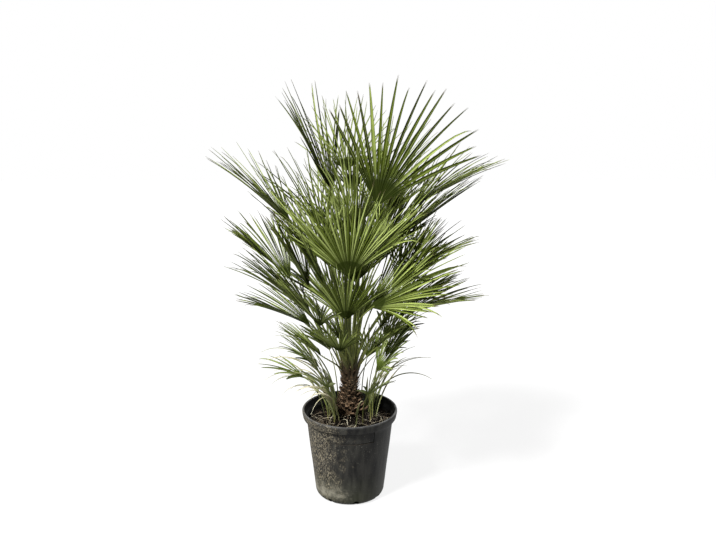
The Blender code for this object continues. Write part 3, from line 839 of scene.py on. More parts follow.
# %% [markdown]
# ## How a segment grows
# No two segments are alike. Each gets its own width, the depth of its gutter, a small sway and lift, a twist,
# and now and then a kinked tip, all drawn by chance. Its width is limited by the room between its
# neighbours, so the fan stays open to the light and no segment covers the next.


# %% Habit of a segment
class Habit:
    """How one segment grows: its widths, the depth of its gutter, and its own small sway, twist and kink."""

    def __init__(self, length, soft, broad, fullness):
        self.apart = 0.78 if broad else 0.95
        share = (0.032 if broad else 0.019) if soft else (0.0132 if broad else 0.0092)
        self.widest = length * share * fullness * chance.uniform(0.75, 1.15)
        self.depth = 0.35 if soft else chance.uniform(0.6, 1.0)
        self.sway = chance.gauss(0, 0.010 if broad else 0.028) * length
        self.lift = chance.gauss(0, 0.010 if broad else 0.030) * length
        self.twist = math.radians(chance.gauss(0, 8 if broad else 22))
        self.kink = chance.uniform(0.02, 0.05) * length if chance.random() < 0.14 else 0.0

    def half_width(self, root, start, free):
        """Widest a quarter of the way out, but never so wide that it fills the room that it has."""
        room = between(self.apart, 0.78, eased(free / 0.25)) * root * between(start, 1, free) / start
        if free < 0.22:
            return min(room, self.widest * between(0.75, 1, eased(free / 0.22)))
        return min(room, self.widest * (1 - 0.80 * ((free - 0.22) / 0.78) ** 1.3))


def rims_and_notches(segments, whole):
    """Where each midrib crosses the rim of the whole part, and the points where the fan splits."""
    rims = [segment.point(whole / segment.length) for segment in segments]
    first = rims[0] * 1.5 - rims[1] * 0.5
    last = rims[-1] * 1.5 - rims[-2] * 0.5
    return rims, [first] + [(a + b) / 2 for a, b in zip(rims, rims[1:])] + [last]


print("habits are drawn segment by segment")

# %% [markdown]
# ## From the net to the leaf
# In the whole part the leaf is pleated like a paper fan: low at each midrib and high where two segments meet.
# Beyond the split each segment is a narrowing gutter round its midrib. One function knows both, and blends
# them over the first stretch of the free part, so the pleats run on without a step.

# %% Places of the net's vertices
PLEAT_DEPTH = 0.55


def pleat(side):
    """The fold across a segment: low at the midrib, high at both edges."""
    return abs(side) ** 1.2 - 0.5


def blade_place(segment, habit, rim, left, right, side, half, reach, whole):
    """The place of one vertex of a fan, from its layers."""
    edge = left if side < 0 else right
    root = (edge - rim).length
    flat = (edge - rim) * abs(side)
    rooted = flat + segment.upper * pleat(side) * root * PLEAT_DEPTH
    if reach <= 1:
        return segment.hub + (rim - segment.hub + rooted) * reach
    free = reach - 1
    start = whole / segment.length
    middle = segment.point(between(start, 1, free))
    drift = segment.across * habit.sway + segment.upper * habit.lift - UP * habit.kink * free ** 6
    middle += drift * free ** 2
    width = habit.half_width(root, start, free)
    turn = Matrix.Rotation(habit.twist * free, 3, segment.along)
    across, upper = turn @ segment.across, turn @ segment.upper
    if across.dot(right - left) < 0:
        across = -across
    end = (free - SPLIT_AT) / (1 - SPLIT_AT) if half else 0.0
    centre = half * 0.5 * (1 + 0.7 * end)
    sideways = centre + (side - half * 0.5) * (1 - end)
    offset = (across * sideways + upper * pleat(side) * habit.depth * (1 - end)) * width
    blend = eased(free / 0.05)
    return middle + rooted * (1 - blend) + offset * blend


print("pleat at the midrib, halfway and at the edge:", [round(pleat(side), 2) for side in (0, 0.5, 1)])

# %% [markdown]
# ## Stalk and spines
# The stalk is a ring with one flat side, swept along its curve from a broad clasping foot that starts a
# little lower than the CAD's. Small pointed cones along both its edges are the palm's spines. On a crown leaf
# they start above its foot. The offshoots have none yet, and their stalks are thin.


# %% Stalk with spines
def stalk_height(share):
    return between(0.0033, 0.0019, share) * (1 + 0.3 * (1 - eased(share / 0.12)))


def stalk_width(share, grip):
    return between(0.0038, 0.0024, share) * (1 + (grip - 1) * (1 - eased(share / 0.16)))


def add_stalk(form, curve, soft, tone):
    """Adds a stalk, in finish 2, to the leaf's bmesh. A crown leaf's clasps the trunk and has spines."""
    inward = Vector((-curve[0].x, -curve[0].y, 0)).normalized()
    slim, grip = (0.62, 1.3) if soft else (1.0, 1.5)
    places = ring_places(curve, [step / 22 for step in range(23)], inward,
                         lambda share: slim * stalk_height(share),
                         lambda share: slim * stalk_width(share, grip))
    low = Matrix.Translation(-UP * (0.018 if soft else 0.026) + inward * (0 if soft else 0.003))
    sweep(form, [low @ places[0]] + places, 10, 0.45, finish=2, tone=tone)
    share = 1.0 if soft else 0.2
    while share < 0.94:
        stand = ring_places(curve, [share], inward, lambda share: 1.0, lambda share: 1.0)[0]
        for edge in (-1, 1):
            size = chance.uniform(0.004, 0.0085)
            push = Matrix.Translation((0.0006, edge * (stalk_width(share, 1) + size * 0.42), 0))
            lean = Matrix.Rotation(-edge * math.radians(chance.uniform(62, 80)), 4, "X")
            spine = bmesh.new()
            bmesh.ops.create_cone(spine, cap_ends=True, segments=4, radius1=0.0008, radius2=0.0001,
                                  depth=size, matrix=stand @ push @ lean)
            for face in spine.faces:
                face.material_index = 2
            append(form, spine, tone=tone, along=share)
        share += chance.uniform(0.035, 0.075)


print("a stalk is", round(2000 * stalk_width(0.5, 1), 1), "mm wide halfway")

# %% [markdown]
# ## The whole leaf
# For each leaf the net is made, its vertices move to their places, and the solidify operator gives it half a
# millimetre of thickness. The faces that look down then get the underside's finish. Leaves low in the crown
# and those of the offshoots have fuller segments, and the airy ones at its top and back finer ones.

# %% Whole leaf
LEAF_THICKNESS = 0.0005
WHOLE_SHARE = 0.15


def add_leaf(name, curve, segments, length, leaf_tone, finishes, slot):
    """Makes one leaf, with its stalk, in place of its CAD node."""
    soft = name in OFFSHOOTS
    form = flat_net(len(segments))
    layers = form.verts.layers
    owner, half = layers.int["owner"], layers.int["half"]
    side, reach = layers.float["side"], layers.float["reach"]
    fold, tone = layers.float.new("fold"), layers.float.new("tone")
    whole = length * (PALMAN if name in BROAD else WHOLE_SHARE)
    rims, splits = rims_and_notches(segments, whole)
    fullness = 0.85 if name in FINE else 1.5 if soft or FRONDS[name][TIER] < 2 else 1.0
    habits = [Habit(length, soft, name in BROAD, fullness) for _ in segments]
    tones = [leaf_tone + chance.gauss(0, 0.75) for _ in segments]
    for vert in form.verts:
        index = vert[owner]
        vert.co = blade_place(segments[index], habits[index], rims[index], splits[index], splits[index + 1],
                              vert[side], vert[half], vert[reach], whole)
        vert[fold] = abs(vert[side])
        vert[tone] = tones[index]
    bmesh.ops.remove_doubles(form, verts=form.verts, dist=0.00002)
    form.normal_update()
    ahead = sum(face.normal.dot(segments[face.verts[0][owner]].upper) for face in form.faces)
    if ahead < 0:
        bmesh.ops.reverse_faces(form, faces=form.faces)
    bmesh.ops.solidify(form, geom=form.faces, thickness=LEAF_THICKNESS)
    form.normal_update()
    for face in form.faces:
        face.material_index = int(face.normal.dot(segments[face.verts[0][owner]].upper) < 0)
    add_stalk(form, curve, soft, leaf_tone + chance.gauss(0, 0.7))
    return add_piece(name + "_leaf", form, finishes, slot, name, crease=55)


faces = 0
for name, (curve, segments, length, tone) in fans.items():
    crown = name in FRONDS
    finishes = (LEAF_TOP, LEAF_BACK, STALK) if crown else (SHOOT_TOP, SHOOT_BACK, SHOOT_STALK)
    leaf = add_leaf(name, curve, segments, length, tone, finishes, "leaf_green" if crown else "shoot_green")
    faces += len(leaf.data.polygons)
print(len(fans), "leaves with", faces, "faces")

# %% [markdown]
# ## The pot
# A nursery pot is one thin shell of black plastic: a tapered wall with a rounded heel, a wide rolled rim, a
# shallow panel under the rim where a label could go, and a fine mould seam. A lathe is the right tool for
# such a shape, so its section is written once, from the middle of the underside up the outside, over the
# rim, and down the inside. The panel is left bare.

# %% Section of the pot
SIDES = 144
outside = [(0.0, 0.0016), (0.084, 0.0016), (0.088, 0.0), (0.098, 0.0)]
outside += [(0.100 + 0.0175 * math.sin(turn), 0.025 * (1 - math.cos(turn)))
            for turn in (math.radians(18 * step) for step in range(1, 6))]
outside += [(between(0.1175, 0.1455, step / 20), between(0.025, 0.271, step / 20)) for step in range(1, 21)]
rim = [(0.1468, 0.2735), (0.1485, 0.2755), (0.1530, 0.2762), (0.1558, 0.2778), (0.1572, 0.2810),
       (0.1580, 0.2870), (0.1592, 0.2915), (0.1600, 0.2970), (0.1600, 0.3012), (0.1588, 0.3038),
       (0.1565, 0.3050), (0.1540, 0.3046), (0.1526, 0.3030), (0.1518, 0.2990), (0.1508, 0.2850),
       (0.1475, 0.2790), (0.1440, 0.2750)]
inside = [(between(0.1431, 0.1152, step / 12), between(0.268, 0.025, step / 12)) for step in range(13)]
inside += [(0.112, 0.014), (0.106, 0.006), (0.098, 0.0035), (0.0, 0.0035)]
pot_form = lathe(outside + rim + inside, SIDES)
bmesh.ops.recalc_face_normals(pot_form, faces=pot_form.faces)
print("spun shell:", len(pot_form.faces), "faces")

# %% [markdown]
# ## Panels under the rim
# The panels are pressed into the wall. Two insets make each: the first steps down steeply, which gives the
# thin dark outline, and the second rises again over a wider border to a nearly flush middle.


# %% Panels under the rim
def bearing(point):
    """Degrees round the pot from its front, towards its right."""
    return math.degrees(math.atan2(point.x, -point.y))


def wall_faces(low, high, left, right):
    """Faces of the outer wall between two heights and two bearings."""
    found = []
    for face in pot_form.faces:
        middle = face.calc_center_median()
        outer = middle.x * face.normal.x + middle.y * face.normal.y > 0
        if outer and low < middle.z < high and left < bearing(middle) < right:
            found.append(face)
    return found


PANELS = ((-31, 36), (112, 178), (-178, -112))
for left, right in PANELS:
    panel = wall_faces(0.236, 0.2725, left, right)
    bmesh.ops.inset_region(pot_form, faces=panel, thickness=0.0012, depth=-0.0022, use_even_offset=True)
    bmesh.ops.inset_region(pot_form, faces=panel, thickness=0.0024, depth=0.0014, use_even_offset=True)
print(len(PANELS), "bare panels")

# %% [markdown]
# ## Marks of the mould, and dents
# The two halves of the mould leave a fine raised seam on opposite sides, and the place where the plastic
# went in leaves a small star of three ribs. Short cubes, scaled, turned and with their edges bevelled, make
# the star. A used pot is no longer quite round either: slow noise moves its wall in and out by a fraction
# of a millimetre.

# %% Seam, star and dents
SEAMS = (7.5, -172.5)
SEAM_HEIGHT = 0.0006
for vert in pot_form.verts:
    outer = vert.co.x * vert.normal.x + vert.co.y * vert.normal.y > 0
    for seam in SEAMS:
        if outer and abs(bearing(vert.co) - seam) < 0.6 and 0.072 < vert.co.z < 0.235:
            vert.co.xy *= 1 + SEAM_HEIGHT / vert.co.xy.length
for turn in (0, 120, 240):
    arm = bmesh.ops.create_cube(pot_form, size=1)["verts"]
    bmesh.ops.scale(pot_form, verts=arm, vec=(0.0022, 0.0016, 0.011))
    bmesh.ops.translate(pot_form, verts=arm, vec=(0, 0, -0.006))
    for degrees, axis in ((turn, "Y"), (SEAMS[0], "Z")):
        turned = Matrix.Rotation(math.radians(degrees), 3, axis)
        bmesh.ops.rotate(pot_form, verts=arm, cent=(0, 0, 0), matrix=turned)
    bmesh.ops.translate(pot_form, verts=arm, vec=polar(SEAMS[0] - 90) * 0.1218 + UP * 0.066)
    bmesh.ops.bevel(pot_form, geom=list({edge for vert in arm for edge in vert.link_edges}), affect="EDGES",
                    offset=0.0005, segments=1, profile=0.5, material=-1)
for vert in pot_form.verts:
    reach = vert.co.xy.length
    if reach > 0.09 and 0.01 < vert.co.z < 0.27:
        push = noise.noise(vert.co * 14) * 0.0007 + noise.noise(vert.co * 45) * 0.00015
        vert.co.xy *= 1 + push / reach
print("seam and star, and a wall dented by up to 0.8 mm")

# %% [markdown]
# ## Pot finish
# Old nursery plastic is charcoal rather than black. Dried mud leaves tan blotches, mostly on one side, hard
# water leaves lime along the heel and light specks higher up, and a little moss grows near the ground. The
# top of the rim is made paler as a painted highlight. Masks from the object's own coordinates put each of
# these where it belongs, and each is laid over the skin below it. Where there is mud the plastic is dull.

# %% Plastic and mud
TAN_DARK, TAN_PALE = (0.010, 0.008, 0.004), (0.27, 0.235, 0.165)
LIME = (0.29, 0.27, 0.215)
SPECK = (0.30, 0.285, 0.24)
MOSS = (0.075, 0.082, 0.040)
RIM_HIGHLIGHT = (0.11, 0.11, 0.11)
POT_SKIN = new_finish("pot_outside", 0.5, 0.28)
leftward = maths("MULTIPLY_ADD", place(POT_SKIN, "X"), -5.5, -0.18)
level = place(POT_SKIN, "Z")
drawn = cloud(POT_SKIN, 55, 8, (1, 1, 0.16))
plastic = ramp(drawn, (0.36, (0.004, 0.004, 0.0037)), (0.68, (0.033, 0.032, 0.027)))
blotch = cloud(POT_SKIN, 38, 14)
dusty = plus(times(leftward, 0.8), maths("SUBTRACT", blotch, 0.32))
fine = ramp(cloud(POT_SKIN, 240, 12), (0.43, 0.0), (0.55, 1.0))
dust = times(ramp(dusty, (0.10, 0.0), (0.44, 1.0)), fine)
tan = ramp(cloud(POT_SKIN, 320, 10, (1, 1, 0.4)), (0.42, TAN_DARK), (0.61, TAN_PALE))
skin = mixed(dust, plastic, tan)
shade(POT_SKIN, "Roughness", ramp(dust, (0.0, 0.36), (0.7, 0.85)))
bump(POT_SKIN, plus(cloud(POT_SKIN, 900, 2), times(dust, 1.2)), 0.25, 0.0006)
print("mud on the left of the pot")

# %% [markdown]
# ## Marks on the pot
# Three more kinds of mark and a painted highlight go over the skin, each as a colour behind its own mask.
# Ramps on the height put the lime on the heel, the splashes below the panels, the moss at the foot and the
# painted highlight along the top of the rim.

# %% Lime, specks, moss and the painted rim highlight
heel = ramp(level, (0.018, 0.0), (0.034, 1.0), (0.05, 0.6), (0.085, 0.0))
heel = times(heel, ramp(dusty, (0.0, 0.0), (0.30, 1.0)))
limed = times(heel, ramp(cloud(POT_SKIN, 55, 8), (0.38, 0.15), (0.6, 1.0)))
splashed = ramp(level, (0.150, 0.25), (0.205, 1.0), (0.225, 1.0), (0.26, 0.3))
specks = times(ramp(cloud(POT_SKIN, 300, 2), (0.655, 0.0), (0.70, 0.45)), splashed)
mossy = times(ramp(level, (0.0, 0.5), (0.12, 0.0)), cloud(POT_SKIN, 22, 5))
# The top of the rim is paler: a painted highlight, broken up by noise.
painted_rim_highlight = ramp(level, (0.2995, 0.0), (0.3045, 0.75))
painted_rim_highlight = times(painted_rim_highlight, ramp(cloud(POT_SKIN, 40, 6), (0.3, 0.35), (0.65, 1.0)))
for mask, colour in ((limed, LIME), (specks, SPECK), (mossy, MOSS), (painted_rim_highlight, RIM_HIGHLIGHT)):
    skin = mixed(mask, skin, colour)
shade(POT_SKIN, "Base Color", skin)
print("pot skin has", len(POT_SKIN.node_tree.nodes), "nodes")

# %% [markdown]
# ## Inside of the pot
# The inside is nearly black, darker than the outside: painted shade inside the pot. It has a film of soil
# just above the filling. It is a finish of its own, given to the faces that look towards the axis or up,
# below the top of the rim.

# %% Inside of the pot
POT_INSIDE = new_finish("pot_inside", 0.7, 0.2)
# Painted shade: the inner wall is nearly black, with soft noise in it.
painted_inner_shade = ramp(cloud(POT_INSIDE, 30, 6), (0.35, (0.002, 0.002, 0.002)), (0.75, (0.007, 0.007, 0.006)))
soiled = times(ramp(place(POT_INSIDE, "Z"), (0.245, 0.9), (0.268, 0.0)), cloud(POT_INSIDE, 90, 6))
shade(POT_INSIDE, "Base Color", mixed(soiled, painted_inner_shade, (0.03, 0.023, 0.015)))
bump(POT_INSIDE, cloud(POT_INSIDE, 400, 3), 0.2, 0.0005)
for face in pot_form.faces:
    middle = face.calc_center_median()
    inner = middle.x * face.normal.x + middle.y * face.normal.y < 0 or face.normal.z > 0.5
    face.material_index = int(inner and 0.003 < middle.z < 0.3035 and middle.xy.length < 0.153)
print("inner faces:", sum(face.material_index for face in pot_form.faces))

# %% [markdown]
# ## Drain notches
# Water leaves the pot through notches in its heel. They cut through a curved wall, which a Boolean does
# best: eight short round bars are taken away from the pot, the result is applied, and the bars are removed.


# %% Drain notches
def cut(piece, cutters):
    """Cuts closed shapes out of a piece with a Boolean, which is applied, and removes them."""
    mesh = bpy.data.meshes.new("cutters")
    cutters.to_mesh(mesh)
    cutters.free()
    blades = bpy.data.objects.new("cutters", mesh)
    scene.collection.objects.link(blades)
    modifier = piece.modifiers.new("cut", "BOOLEAN")
    modifier.operation = "DIFFERENCE"
    modifier.object = blades
    cut_mesh = bpy.data.meshes.new_from_object(piece.evaluated_get(bpy.context.evaluated_depsgraph_get()))
    piece.modifiers.clear()
    piece.data = cut_mesh
    bpy.data.objects.remove(blades)


NOTCHES = 8
NOTCH_RADIUS = 0.0105
pot = add_piece("nursery_pot", pot_form, (POT_SKIN, POT_INSIDE), "pot_plastic", "pot", crease=32)
drains = bmesh.new()
for index in range(NOTCHES):
    outward = polar(360 / NOTCHES * (index + 0.25))
    tilt = UP.rotation_difference(outward - UP).to_matrix().to_4x4()
    bmesh.ops.create_cone(drains, cap_ends=True, segments=20, radius1=NOTCH_RADIUS, radius2=NOTCH_RADIUS,
                          depth=0.05, matrix=Matrix.Translation(outward * 0.1115 + UP * 0.007) @ tilt)
cut(pot, drains)
print("pot with drain notches:", len(pot.data.polygons), "faces")

# %% [markdown]
# ## Soil
# The pot is filled with dark bark-and-peat mix that mounds up round the trunk. The surface is a spun sheet
# with fine steps, made rough by noise at two scales, and closed below so that it is a solid.


# %% Soil surface
def ground(x, y):
    """Height of the rough soil at a place."""
    rough = noise.noise(Vector((x, y, 0)) * 60) * 0.0035 + noise.noise(Vector((x, y, 3)) * 190) * 0.0022
    return soil_height(math.hypot(x, y)) + rough


RING_STEP = 0.004
surface = [(RING_STEP * step, 0) for step in range(9, 35)] + [(0.1398, 0)]
soil_form = lathe([(0.0, 0.235)] + surface + [(0.1380, 0.235), (0.125, 0.22)], 150)
for vert in soil_form.verts:
    if vert.co.z < 0.1:
        vert.co.z = ground(vert.co.x, vert.co.y)
closed(soil_form)
print("soil surface:", len(soil_form.faces), "faces")

# %% [markdown]
# ## Soil finish
# Potting mix is dark, and here it is nearly black, partly as painted shade: the shade of the crown and the
# rim, deepest in the hollows of the lumps. It has a few brown chips of bark. It doesn't shine. Strong relief
# from the same noise as the colour makes the lumps.

# %% Soil finish
SOIL = new_finish("potting_mix", 0.95, 0.1)
lumps = cloud(SOIL, 140, 8)
# Painted shade: the mix is made nearly black, darkest where the lumps dip.
peat_and_painted_shade = ramp(lumps, (0.42, (0.0007, 0.0006, 0.0005)), (0.76, (0.013, 0.009, 0.006)))
chips = ramp(cloud(SOIL, 420, 3), (0.62, 0.0), (0.68, 0.45))
shade(SOIL, "Base Color", mixed(chips, peat_and_painted_shade, (0.075, 0.050, 0.030)))
bump(SOIL, lumps, 0.9, 0.003)
add_piece("potting_soil", soil_form, (SOIL,), "soil_mix", "soil", crease=180)
print("soil finished")

# %% [markdown]
# ## Loose crumbs
# Loose bits of bark lie on the surface and break its outline. Each is a small sphere of twenty faces,
# squashed and turned by chance, so that nearly a thousand of them stay light.


# %% Loose crumbs
def on_soil(low, high):
    """A random place on the soil, between two distances from the pot's axis."""
    turn, reach = chance.uniform(0, math.tau), math.sqrt(chance.uniform(low ** 2, high ** 2))
    x, y = reach * math.cos(turn), reach * math.sin(turn)
    return Vector((x, y, ground(x, y)))


CRUMBS = 950
crumbs = bmesh.new()
for _ in range(CRUMBS):
    size = chance.choice((0.0016, 0.002, 0.0025, 0.003, 0.0045))
    turn = Matrix.Rotation(chance.uniform(0, math.tau), 4, "Z")
    tilt = Matrix.Rotation(chance.gauss(0, 0.4), 4, "X")
    shape = Matrix.Diagonal((size * chance.uniform(1, 1.9), size, size * chance.uniform(0.5, 0.8), 1))
    spot = Matrix.Translation(on_soil(0.044, 0.135) + UP * size * 0.3)
    crumb = bmesh.new()
    bmesh.ops.create_icosphere(crumb, subdivisions=1, radius=1, matrix=spot @ turn @ tilt @ shape)
    append(crumbs, crumb, tone=chance.random())
CRUMB = new_finish("bark_crumb", 0.95, 0.1)
# Painted shade: most crumbs are made nearly black like the soil, and only a few are pale chips.
bark_and_painted_shade = ramp(attribute(CRUMB, "tone"), (0.0, (0.001, 0.0008, 0.0007)), (0.85, (0.012, 0.008, 0.005)),
            (1.0, (0.08, 0.055, 0.035)))
shade(CRUMB, "Base Color", tinted(bark_and_painted_shade, ramp(cloud(CRUMB, 700, 3), (0.3, 0.6), (0.7, 1.3))))
bump(CRUMB, cloud(CRUMB, 900, 3), 0.8, 0.0008)
add_piece("soil_crumbs", crumbs, (CRUMB,), "soil_mix", crease=20)
print(CRUMBS, "crumbs")

# %% [markdown]
# ## Dry litter
# Under a palm lie dry strips of old leaf, bleached like straw where they are on top and brown where they are
# half buried. Each is a flat ring swept along a low bow, with its ends on the soil, and some long ones have
# one end that sticks up. More of them are dropped at the front, where the soil is seen best.


# %% Dry litter
def add_straw(form, middle, heading, length, width, lift=0.0):
    """A dry strip that lies on the soil, bowed a little, with one end that may stick up."""
    half = polar(heading) * length / 2
    ends = [middle - half, middle + half]
    for end in ends:
        end.z = ground(end.x, end.y) + 0.0015
    ends[1].z += lift
    top = (ends[0] + ends[1]) / 2 + UP * length * 0.12
    curve = (ends[0], top + polar(heading + 90) * length * 0.1, top, ends[1])
    places = ring_places(curve, (0, 0.25, 0.5, 0.75, 1), UP, lambda share: width * 0.16,
                         lambda share: width * 0.5 * (1 - 0.75 * abs(2 * share - 1) ** 2))
    sweep(form, places, 4, tone=chance.random() ** 1.3)


STRAWS = 340
litter = bmesh.new()
for _ in range(STRAWS):
    spot = on_soil(0.045, 0.132)
    if spot.y > 0.02 and chance.random() < 0.55:
        spot.y = -spot.y
    if chance.random() < 0.4:
        add_straw(litter, spot, chance.uniform(0, 360), chance.uniform(0.025, 0.055),
                  chance.uniform(0.0014, 0.0032), chance.uniform(0, 0.016))
    else:
        add_straw(litter, spot, chance.uniform(0, 360), chance.uniform(0.009, 0.022),
                  chance.uniform(0.0010, 0.0022))
STRAW = new_finish("dry_litter", 0.8)
straw = ramp(attribute(STRAW, "tone"), (0.0, (0.018, 0.011, 0.006)), (1.0, (0.46, 0.42, 0.31)),
             (0.45, (0.065, 0.045, 0.025)), (0.75, (0.22, 0.18, 0.115)))
shade(STRAW, "Base Color", tinted(straw, ramp(cloud(STRAW, 500, 3), (0.3, 0.75), (0.7, 1.15))))
bump(STRAW, cloud(STRAW, 800, 2), 0.4, 0.0005)
add_piece("leaf_litter", litter, (STRAW,), "dry_leaf")
print(STRAWS, "straws")

# %% [markdown]
# ## Core of the trunk
# The trunk of a young fan palm is short, widest just above the soil, and wrapped in the cut bases of old
# leaves and in the brown fibre that their sheaths leave behind. The lathe makes a smooth core from a list
# of heights and radii, and noise roughens it: lumps that are longer round the trunk than up it, and fine
# grooves that run up it.

# %% Core of the trunk
TRUNK_RADII = ((0.258, 0.036), (0.289, 0.042), (0.311, 0.0375), (0.335, 0.031), (0.359, 0.0245),
               (0.384, 0.0195), (0.413, 0.0170), (0.443, 0.0155), (0.473, 0.0145), (0.503, 0.013),
               (0.526, 0.009), (0.530, 0.0))
TRUNK_ROWS = 60
CORE_SHARE = 0.94


def trunk_radius(height):
    for (low, wide), (high, narrow) in zip(TRUNK_RADII, TRUNK_RADII[1:]):
        if height <= high:
            return between(wide, narrow, (height - low) / (high - low))
    return 0.0


rows = [between(TRUNK_RADII[0][0], TRUNK_RADII[-1][0], step / TRUNK_ROWS) for step in range(TRUNK_ROWS + 1)]
core = lathe([(trunk_radius(height) * CORE_SHARE, height) for height in rows], 72)
closed(core)
for vert in core.verts:
    if vert.co.xy.length > 0.002:
        lump = noise.noise(Vector((vert.co.x * 2, vert.co.y * 2, vert.co.z * 6)) * 40)
        groove = noise.noise(Vector((vert.co.x, vert.co.y, vert.co.z * 0.2)) * 260)
        vert.co.xy *= 1 + (lump * 0.0016 + groove * 0.0010) / vert.co.xy.length
print("core:", len(core.faces), "faces")

# %% [markdown]
# ## Trunk finish
# The fibre is dark brown, dry and redder at the surface and nearly black in its hollows: the colour follows
# the same noise as the relief, so the hollows hold painted shade. Near the soil it has lighter patches. Noise
# that is drawn out upwards gives strands in colour and relief at once.

# %% Trunk finish
FIBRE = new_finish("trunk_fibre", 0.95, 0.15)
strands = cloud(FIBRE, 210, 7, (1, 1, 0.16))
# Painted shade: the fibre goes nearly black where the strands' noise is low, in the hollows of the relief.
fibre_and_painted_shade = ramp(strands, (0.38, (0.005, 0.0035, 0.002)), (0.68, (0.13, 0.080, 0.045)))
tint_mask = times(ramp(place(FIBRE, "Z"), (0.29, 0.5), (0.40, 0.0)), cloud(FIBRE, 60))
shade(FIBRE, "Base Color", mixed(tint_mask, fibre_and_painted_shade, (0.19, 0.115, 0.06)))
bump(FIBRE, strands, 0.9, 0.0025)
add_piece("trunk_core", core, (FIBRE,), "trunk_fibre", "trunk", crease=180)
print("trunk skin has", len(FIBRE.node_tree.nodes), "nodes")

# %% [markdown]
# ## Old leaf bases
# When old leaves are cut, the broad ends of their stalks stay on the trunk like scales. They stand in a
# spiral, each turned on from the last by the golden angle, as the leaves grew. Each is a flat ring swept
# outwards and up, large and leaning out near the soil, smaller and closer above. Higher up they stand on
# the fibre that clasps the feet of the stalks.

# %% Old leaf bases
BASES = 116
GOLDEN_ANGLE = 137.5
CLASP, CLASP_FROM = 0.0072, 0.372


def clasp(height):
    """How far the fibre stands off the core to go round the feet of the stalks."""
    return CLASP * eased((height - CLASP_FROM) / 0.03)


bases = bmesh.new()
for index in range(BASES):
    share = index / (BASES - 1)
    height = between(0.282, 0.452, share ** 0.9)
    outward = polar(index * GOLDEN_ANGLE + chance.gauss(0, 8))
    size = between(1.25, 0.5, share ** 0.6)
    foot = outward * (trunk_radius(height) * 0.86 + clasp(height)) + UP * height
    length = size * chance.uniform(0.022, 0.034)
    lean = (outward * between(0.75, 0.34, share ** 0.6) + UP).normalized()
    end = foot + lean * length + outward * 0.002
    curve = (foot, foot + UP * length * 0.35, foot + lean * length * 0.6, end)
    width = size * chance.uniform(0.0085, 0.0115)
    places = ring_places(curve, [step / 5 for step in range(6)], outward,
                         lambda share: size * between(0.0042, 0.0026, share),
                         lambda share: width * (1 - 0.45 * share ** 1.5))
    sweep(bases, places, 9, 0.55, tone=chance.random())
print(BASES, "leaf bases")

# %% [markdown]
# ## Finish of the bases
# Each base is darker towards its foot, where the next one covers it, which is painted shade, and torn and
# paler at its end. The layer along, from 0 at its foot to 1 at its end, drives both, and tone makes some
# bases darker than others. The grain is nearly black in its hollows, as painted shade.

# %% Finish of the bases
BASE = new_finish("old_leaf_base", 0.9, 0.15)
grain = cloud(BASE, 260, 6, (1, 1, 0.2))
# Painted shade: the grain goes nearly black in the hollows of its relief.
body = ramp(grain, (0.38, (0.008, 0.005, 0.003)), (0.68, (0.18, 0.115, 0.070)))
torn = ramp(plus(attribute(BASE, "along"), times(cloud(BASE, 240), 0.35)), (0.85, 0.0), (1.2, 0.8))
# Painted shade: darker towards the foot, where the next base covers this one.
painted_overlap_shade = ramp(attribute(BASE, "along"), (0.25, 0.15), (0.75, 1.0))
tint_mask = times(ramp(attribute(BASE, "tone"), (0.0, 0.4), (1.0, 1.2)), painted_overlap_shade)
shade(BASE, "Base Color", tinted(mixed(torn, body, (0.20, 0.13, 0.08)), tint_mask))
bump(BASE, grain, 0.8, 0.0015)
add_piece("old_leaf_bases", bases, (BASE,), "trunk_fibre", crease=50)
print("bases are dark below and torn above")

# %% [markdown]
# ## Loose fibre
# Between the bases hangs a shaggy net of brown fibre. Hair particles would not be meshes, so each strand is
# a thin swept ring with four sides that starts at the trunk, bows out and comes back to it further on.

# %% Loose fibre
FIBRES = 780
fibres = bmesh.new()
for _ in range(FIBRES):
    height = between(0.275, 0.490, chance.random() ** 0.9)
    heading = chance.uniform(0, 360)
    swing = chance.uniform(-55, 55)
    rise = chance.uniform(-0.008, 0.034)
    near = trunk_radius(height) + clasp(height) + 0.001
    far = trunk_radius(height + rise) + clasp(height + rise) + chance.uniform(0.001, 0.010)
    start = polar(heading) * near + UP * height
    end = polar(heading + swing) * far + UP * (height + rise)
    knee = polar(heading + swing / 2) * (max(near, far) + 0.006) + UP * (height + rise * 0.6)
    places = ring_places((start, knee, knee, end), (0, 0.3, 0.6, 1), UP,
                         lambda share: 0.00042 * (1.1 - share), lambda share: 0.00055 * (1.1 - share))
    sweep(fibres, places, 4, tone=chance.random())
HAIR = new_finish("loose_fibre", 0.85)
dry = ramp(attribute(HAIR, "tone"), (0.0, (0.035, 0.022, 0.012)), (1.0, (0.24, 0.16, 0.085)))
shade(HAIR, "Base Color", tinted(dry, ramp(cloud(HAIR, 500, 2), (0.3, 0.75), (0.7, 1.2))))
add_piece("trunk_fibres", fibres, (HAIR,), "trunk_fibre")
print(FIBRES, "strands of fibre")

# %% [markdown]
# ## Straps
# The first leaves of a palm are single narrow straps, and old ones curl over with cream tips. A strap stands
# up from the soil and leans over more and more, so its path is a chain of short steps whose lean grows. The
# table gives each foot, length, heading, the lean in degrees at the foot and at the tip, width and age.

# %% Paths of the straps
STRAPS = {
    "strap_leaf_left": ((-0.084, 0.010), 0.26, 170, 12, 80, 0.012, 0.35),
    "strap_leaf_right": ((0.088, -0.006), 0.22, 15, 10, 60, 0.009, 0.55),
    "strap_leaf_front": ((0.020, -0.088), 0.17, -75, 10, 75, 0.008, 0.4),
    "curled_leaf_upper": ((-0.046, -0.040), 0.25, 215, 8, 125, 0.017, 0.8),
    "curled_leaf_lower": ((-0.034, -0.052), 0.22, 225, 10, 120, 0.017, 0.9),
}


